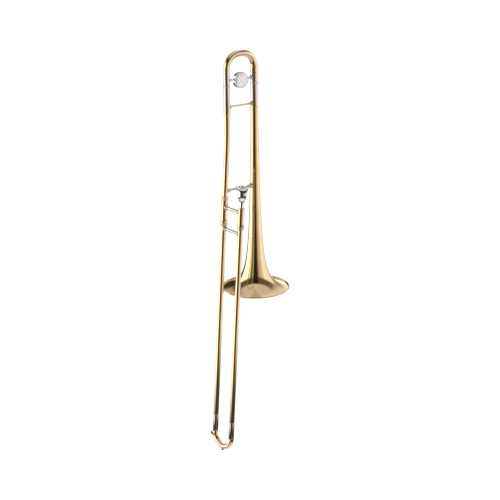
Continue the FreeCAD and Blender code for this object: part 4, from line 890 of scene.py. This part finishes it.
# %% Balance weight
WEIGHT_R, WEIGHT_FACE, WEIGHT_DROP = 22.4, 9.0, 3.4
GROOVES = (6.4, 13.6, 18.6)
outline = [(0, 0.4), (WEIGHT_R - 0.5, 0.4), (WEIGHT_R - 0.5, 7.7), (WEIGHT_R - 1.7, WEIGHT_FACE)]
for radius in reversed(GROOVES):
    outline += [(radius + 0.5, WEIGHT_FACE), (radius, WEIGHT_FACE - 0.45),
                (radius - 0.5, WEIGHT_FACE)]
outline.append((0, WEIGHT_FACE))
middle = shifted(STAND, NECK_X / 2, 0, WEIGHT_Z - WEIGHT_DROP)
front = knurled("balance_weight_front", outline, middle @ TO_FRONT, 40, WEIGHT_R - 0.45, 1.0, 7.2,
                PLATE, "tuning_slide", "weight_plating")
print("balance weight:", len(front.data.polygons), "faces")

# %% [markdown]
# ## Inner slide
# The inner slide is two thin chrome tubes that end in brass barrels. The barrels hold cork rings
# that stop the outer slide, and above them sit the two receivers: one with a thread for the bell,
# one for the mouthpiece.

# %% Receivers, barrels and inner tubes
INNER_FOOT_S, BARREL_FOOT_S, BARREL_TOP_S = -422.5, 221.5, 279.0
turned("slide_receiver", [
    (6.78, 248.0), (8.56, 248.0), (8.56, 279.0), (9.9, 279.0), (9.9, 281.7), (8.86, 282.1),
    (8.86, 288.6), (9.3, 289.0), (9.3, 296.0), (8.14, 296.0), (7.73, 267.5), (6.35, 267.5),
    (6.35, 262.0), (6.78, 262.0)],
    SLIDE, BRASS, "inner_slide", "lacquered_brass", ["slide_receiver"])
turned("mouthpiece_receiver", [
    (6.78, 248.0), (8.56, 248.0), (8.56, 279.0), (8.4, 279.0), (9.0, 279.8), (9.0, 282.8),
    (8.3, 283.5), (6.39, 283.5), (5.66, 254.0), (6.78, 254.0)], shifted(SLIDE, SLIDE_X), NICKEL,
    "inner_slide", "nickel_silver", ["mouthpiece_receiver"])
for side, x, top in (("bell_side", 0.0, 262.0), ("mouthpiece_side", SLIDE_X, 254.0)):
    place = shifted(SLIDE, x)
    turned(f"cork_barrel_{side}", sleeve_outline(BARREL_R, 8.6, BARREL_FOOT_S, BARREL_TOP_S),
           place, BRASS, "inner_slide", "lacquered_brass", [f"cork_barrel_{side}"])
    turned(f"inner_tube_{side}", sleeve_outline(INNER_R, 6.35, INNER_FOOT_S, top - SOLDER_GAP),
           place, CHROME, "inner_slide", "chrome_tube", [f"inner_tube_{side}"])
    turned(f"stocking_{side}", [
        (INNER_R + 0.01, INNER_FOOT_S), (6.975, -422.1), (6.975, -298.1),
        (INNER_R + 0.01, -297.5)], place, CHROME, "inner_slide", "chrome_tube",
        [f"stocking_{side}"], ease=0.05)
turned("barrel_ring", [
    (9.33, 218.5), (9.8, 218.5), (10.6, 219.3), (10.6, 221.7), (9.9, 222.5), (9.9, 225.5),
    (10.6, 226.3), (10.6, 227.3), (10.0, 228.5), (9.33, 228.5)], shifted(SLIDE, SLIDE_X), BRASS,
    "inner_slide", "lacquered_brass", ["barrel_ring"])
print("inner slide made")


# %% Slide braces
def slide_brace(level, tube_r, label, body):
    """Rod across the slide at a level, with a foot on each tube of the given radius."""
    axis, rod_r, foot_r = shifted(SLIDE, z=level) @ ALONG_X, 4.4, 8.0
    bore, depth = rod_r + SOLDER_GAP, 1.4
    profile = ((foot_r, 1.1), (7.4, 1.6), (5.9, 2.6), (5.4, 6.5), (bore, 6.5), (bore, depth),
               (0, depth))
    for side, x, inwards in (("bell_side", 0, 1), ("mouthpiece_side", SLIDE_X, -1)):
        face = x + inwards * tube_r
        outline = (end_disc(foot_r, face - inwards * FOOT_SINK)
                   + [(radius, face + inwards * d) for radius, d in profile])
        foot = turned(f"{label}_foot_{side}", outline, axis, NICKEL, body, "nickel_silver",
                      [f"{label}_flange_{side}"])
        cut_to_tubes(foot, SLIDE, (x, tube_r))
    end = tube_r + depth + SOLDER_GAP
    turned(f"{label}_tube", sleeve_outline(rod_r, 3.6, end, SLIDE_X - end), axis, NICKEL, body,
           "nickel_silver", [f"{label}_tube"])


slide_brace(269.0, BARREL_R, "inner_brace", "inner_slide")
slide_brace(205.6, OUTER_R, "outer_brace", "outer_slide")
print("slide braces made")

# %% Lock nut
nut = knurled("bell_lock_nut", [
    (9.4, 291.0), (9.5, 291.0), (9.9, 291.7), (10.0, 294.5), (9.95, 298.5), (9.5, 300.0),
    (8.9, 301.0), (7.7, 301.0), (7.7, 298.9), (9.4, 298.9)], SLIDE, 30, 9.85, 292.2, 298.8, BRASS,
    "lock_nut", "lacquered_brass")
print("lock nut:", len(nut.data.polygons), "faces")

# %% [markdown]
# ## Slide lock
# The slide lock is a knurled ring on the bell-side barrel. A lip inside it catches a stud on the
# outer slide, and a nub shows the thumb where it stands. The nub is a small turned pin that
# points out of the ring, so it comes from the same lathe.

# %% Slide lock ring
outwards = Matrix.Rotation(math.radians(225), 4, "Z") @ ALONG_X
nub = spin("lock nub", eased([(0, 10.4), (1.7, 10.4), (1.7, 12.4), (1.3, 12.9), (0, 13.0)], 0.2),
           shifted(SLIDE, z=221.5) @ outwards, BRASS, 32)
knurled("slide_lock_ring", [
    (8.35, 214.5), (10.4, 214.5), (11.0, 215.5), (11.0, 225.0), (10.6, 225.9), (10.6, 228.7),
    (10.0, 229.5), (9.35, 229.5), (9.35, 221.5), (9.9, 221.5), (9.9, 217.3), (8.35, 217.3)],
    SLIDE, 36, 10.95, 216.2, 224.2, BRASS, "slide_lock", "lacquered_brass", extra=[nub])
print("slide lock made")

# %% [markdown]
# ## Outer slide
# The outer tubes run over the inner ones and end in the slide bow. Their feet are sleeved in
# a darker, rougher nickel silver, and a rubber bumper under the bow meets the floor.

# %% Outer slide tubes, oversleeves and bumper
OUTER_TOP_S = 243.7
for side, x in (("bell_side", 0.0), ("mouthpiece_side", SLIDE_X)):
    place = shifted(SLIDE, x)
    turned(f"outer_tube_{side}",
           sleeve_outline(OUTER_R, OUTER_BORE_R, OUTER_FOOT_S, OUTER_TOP_S), place, BRASS,
           "outer_slide", "lacquered_brass", [f"outer_tube_{side}"])
    bore = OUTER_R + SOLDER_GAP
    turned(f"oversleeve_{side}", [
        (bore, OUTER_FOOT_S), (bore + 0.6, OUTER_FOOT_S), (bore + 0.6, -378.5),
        (bore + 0.15, -377.5), (bore, -377.5)], place, SLEEVE, "outer_slide",
        "nickel_silver", [f"oversleeve_{side}"])
bottom = OUTER_FOOT_S - SLIDE_X / 2 - BOW_R
turned("rubber_bumper", [
    (0, bottom - 0.45), (4.3, bottom - 0.45), (4.3, bottom - 4.05), (3.9, bottom - 5.1),
    (2.6, bottom - 5.7), (0, bottom - 5.85)], shifted(SLIDE, SLIDE_X / 2), RUBBER, "outer_slide",
    "rubber", ["rubber_bumper"], ease=0.5, steps=32)
print("outer slide made")

# %% [markdown]
# ## Water key spring
# The key is held shut by a coil of spring wire round its hinge. A coil is only a tube whose route
# is a helix, so the tube tree makes it as well.

# %% Water key spring
KEY_REACH, KEY_BEARING = 12.3, math.radians(215)     # where the hinge stands round the tube
COIL_R, COIL_WIRE_R, COIL_PITCH = 2.45, 0.38, 0.8
hinge = SLIDE @ Matrix.Translation((KEY_REACH * math.cos(KEY_BEARING),
                                    KEY_REACH * math.sin(KEY_BEARING), KEY_S + 2.7))
coil = [hinge @ Vector((COIL_R * math.cos(turn), COIL_R * math.sin(turn),
                        COIL_PITCH * turn / (2 * math.pi)))
        for turn in (2 * math.pi * step / 20 for step in range(51))]
spring = bent_tube("water_key_spring", coil, COIL_WIRE_R, COIL_WIRE_R, STEEL, sides=12)
seat(spring, "water_key", "steel", "water_key_spring")
print("spring:", len(spring.data.polygons), "faces")

# %% [markdown]
# ## Mouthpiece
# The mouthpiece is turned from bar and silver plated. Its outside flows from the round rim down
# the cup to a waist and the tapered shank, so the outline is softened rather than eased.

# %% Mouthpiece
MOUTH = [(5.63, 254.5), (6.35, 283.5), (6.65, 287.5), (6.9, 297.5), (7.8, 303.5), (10.2, 308.5),
         (12.6, 313.5), (13.9, 321.5), (14.6, 329.5), (16.3, 338.5), (18.0, 341.0), (18.4, 342.6),
         (17.9, 343.8), (16.7, 344.5), (15.5, 344.6), (14.2, 344.1), (13.0, 343.0), (12.65, 341.3),
         (12.3, 336.5), (10.9, 331.5), (8.1, 326.5), (4.5, 321.7), (3.3, 317.5), (3.3, 310.5),
         (4.8, 254.5)]
mouth = spin("mouthpiece", softened(MOUTH), shifted(SLIDE, SLIDE_X), SILVER, 96, 50)
seat(mouth, "mouthpiece", "silver_plate", "mouthpiece")
print("mouthpiece:", len(mouth.data.polygons), "faces")

# %% [markdown]
# ## Finishes for the nodes that stay
# Small fittings keep their own shape: the water key with its saddle and screw, the end rings,
# the back of the weight, the corks, the rim's wire and the hidden leadpipe. Each gets the
# material it is made of.

# %% Finishes for the kept nodes
KEPT = {
    PLATE: ("balance_weight_back",),
    BRASS: ("outer_end_ring_bell_side", "outer_end_ring_mouthpiece_side",
            "bumper_socket", "water_key_nipple", "water_key_saddle", "water_key_lever"),
    NICKEL: ("leadpipe",),
    STEEL: ("bell_rim_wire", "balance_weight_screw", "water_key_screw"),
    CORK: ("water_key_cork", "cork_ring_bell_side", "cork_ring_mouthpiece_side"),
}
for material, names in KEPT.items():
    for name in names:
        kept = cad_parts[name]
        if not kept.material_slots:
            kept.data.materials.append(material)
        for slot in kept.material_slots:
            slot.material = material
print("kept nodes:", sum(len(names) for names in KEPT.values()))
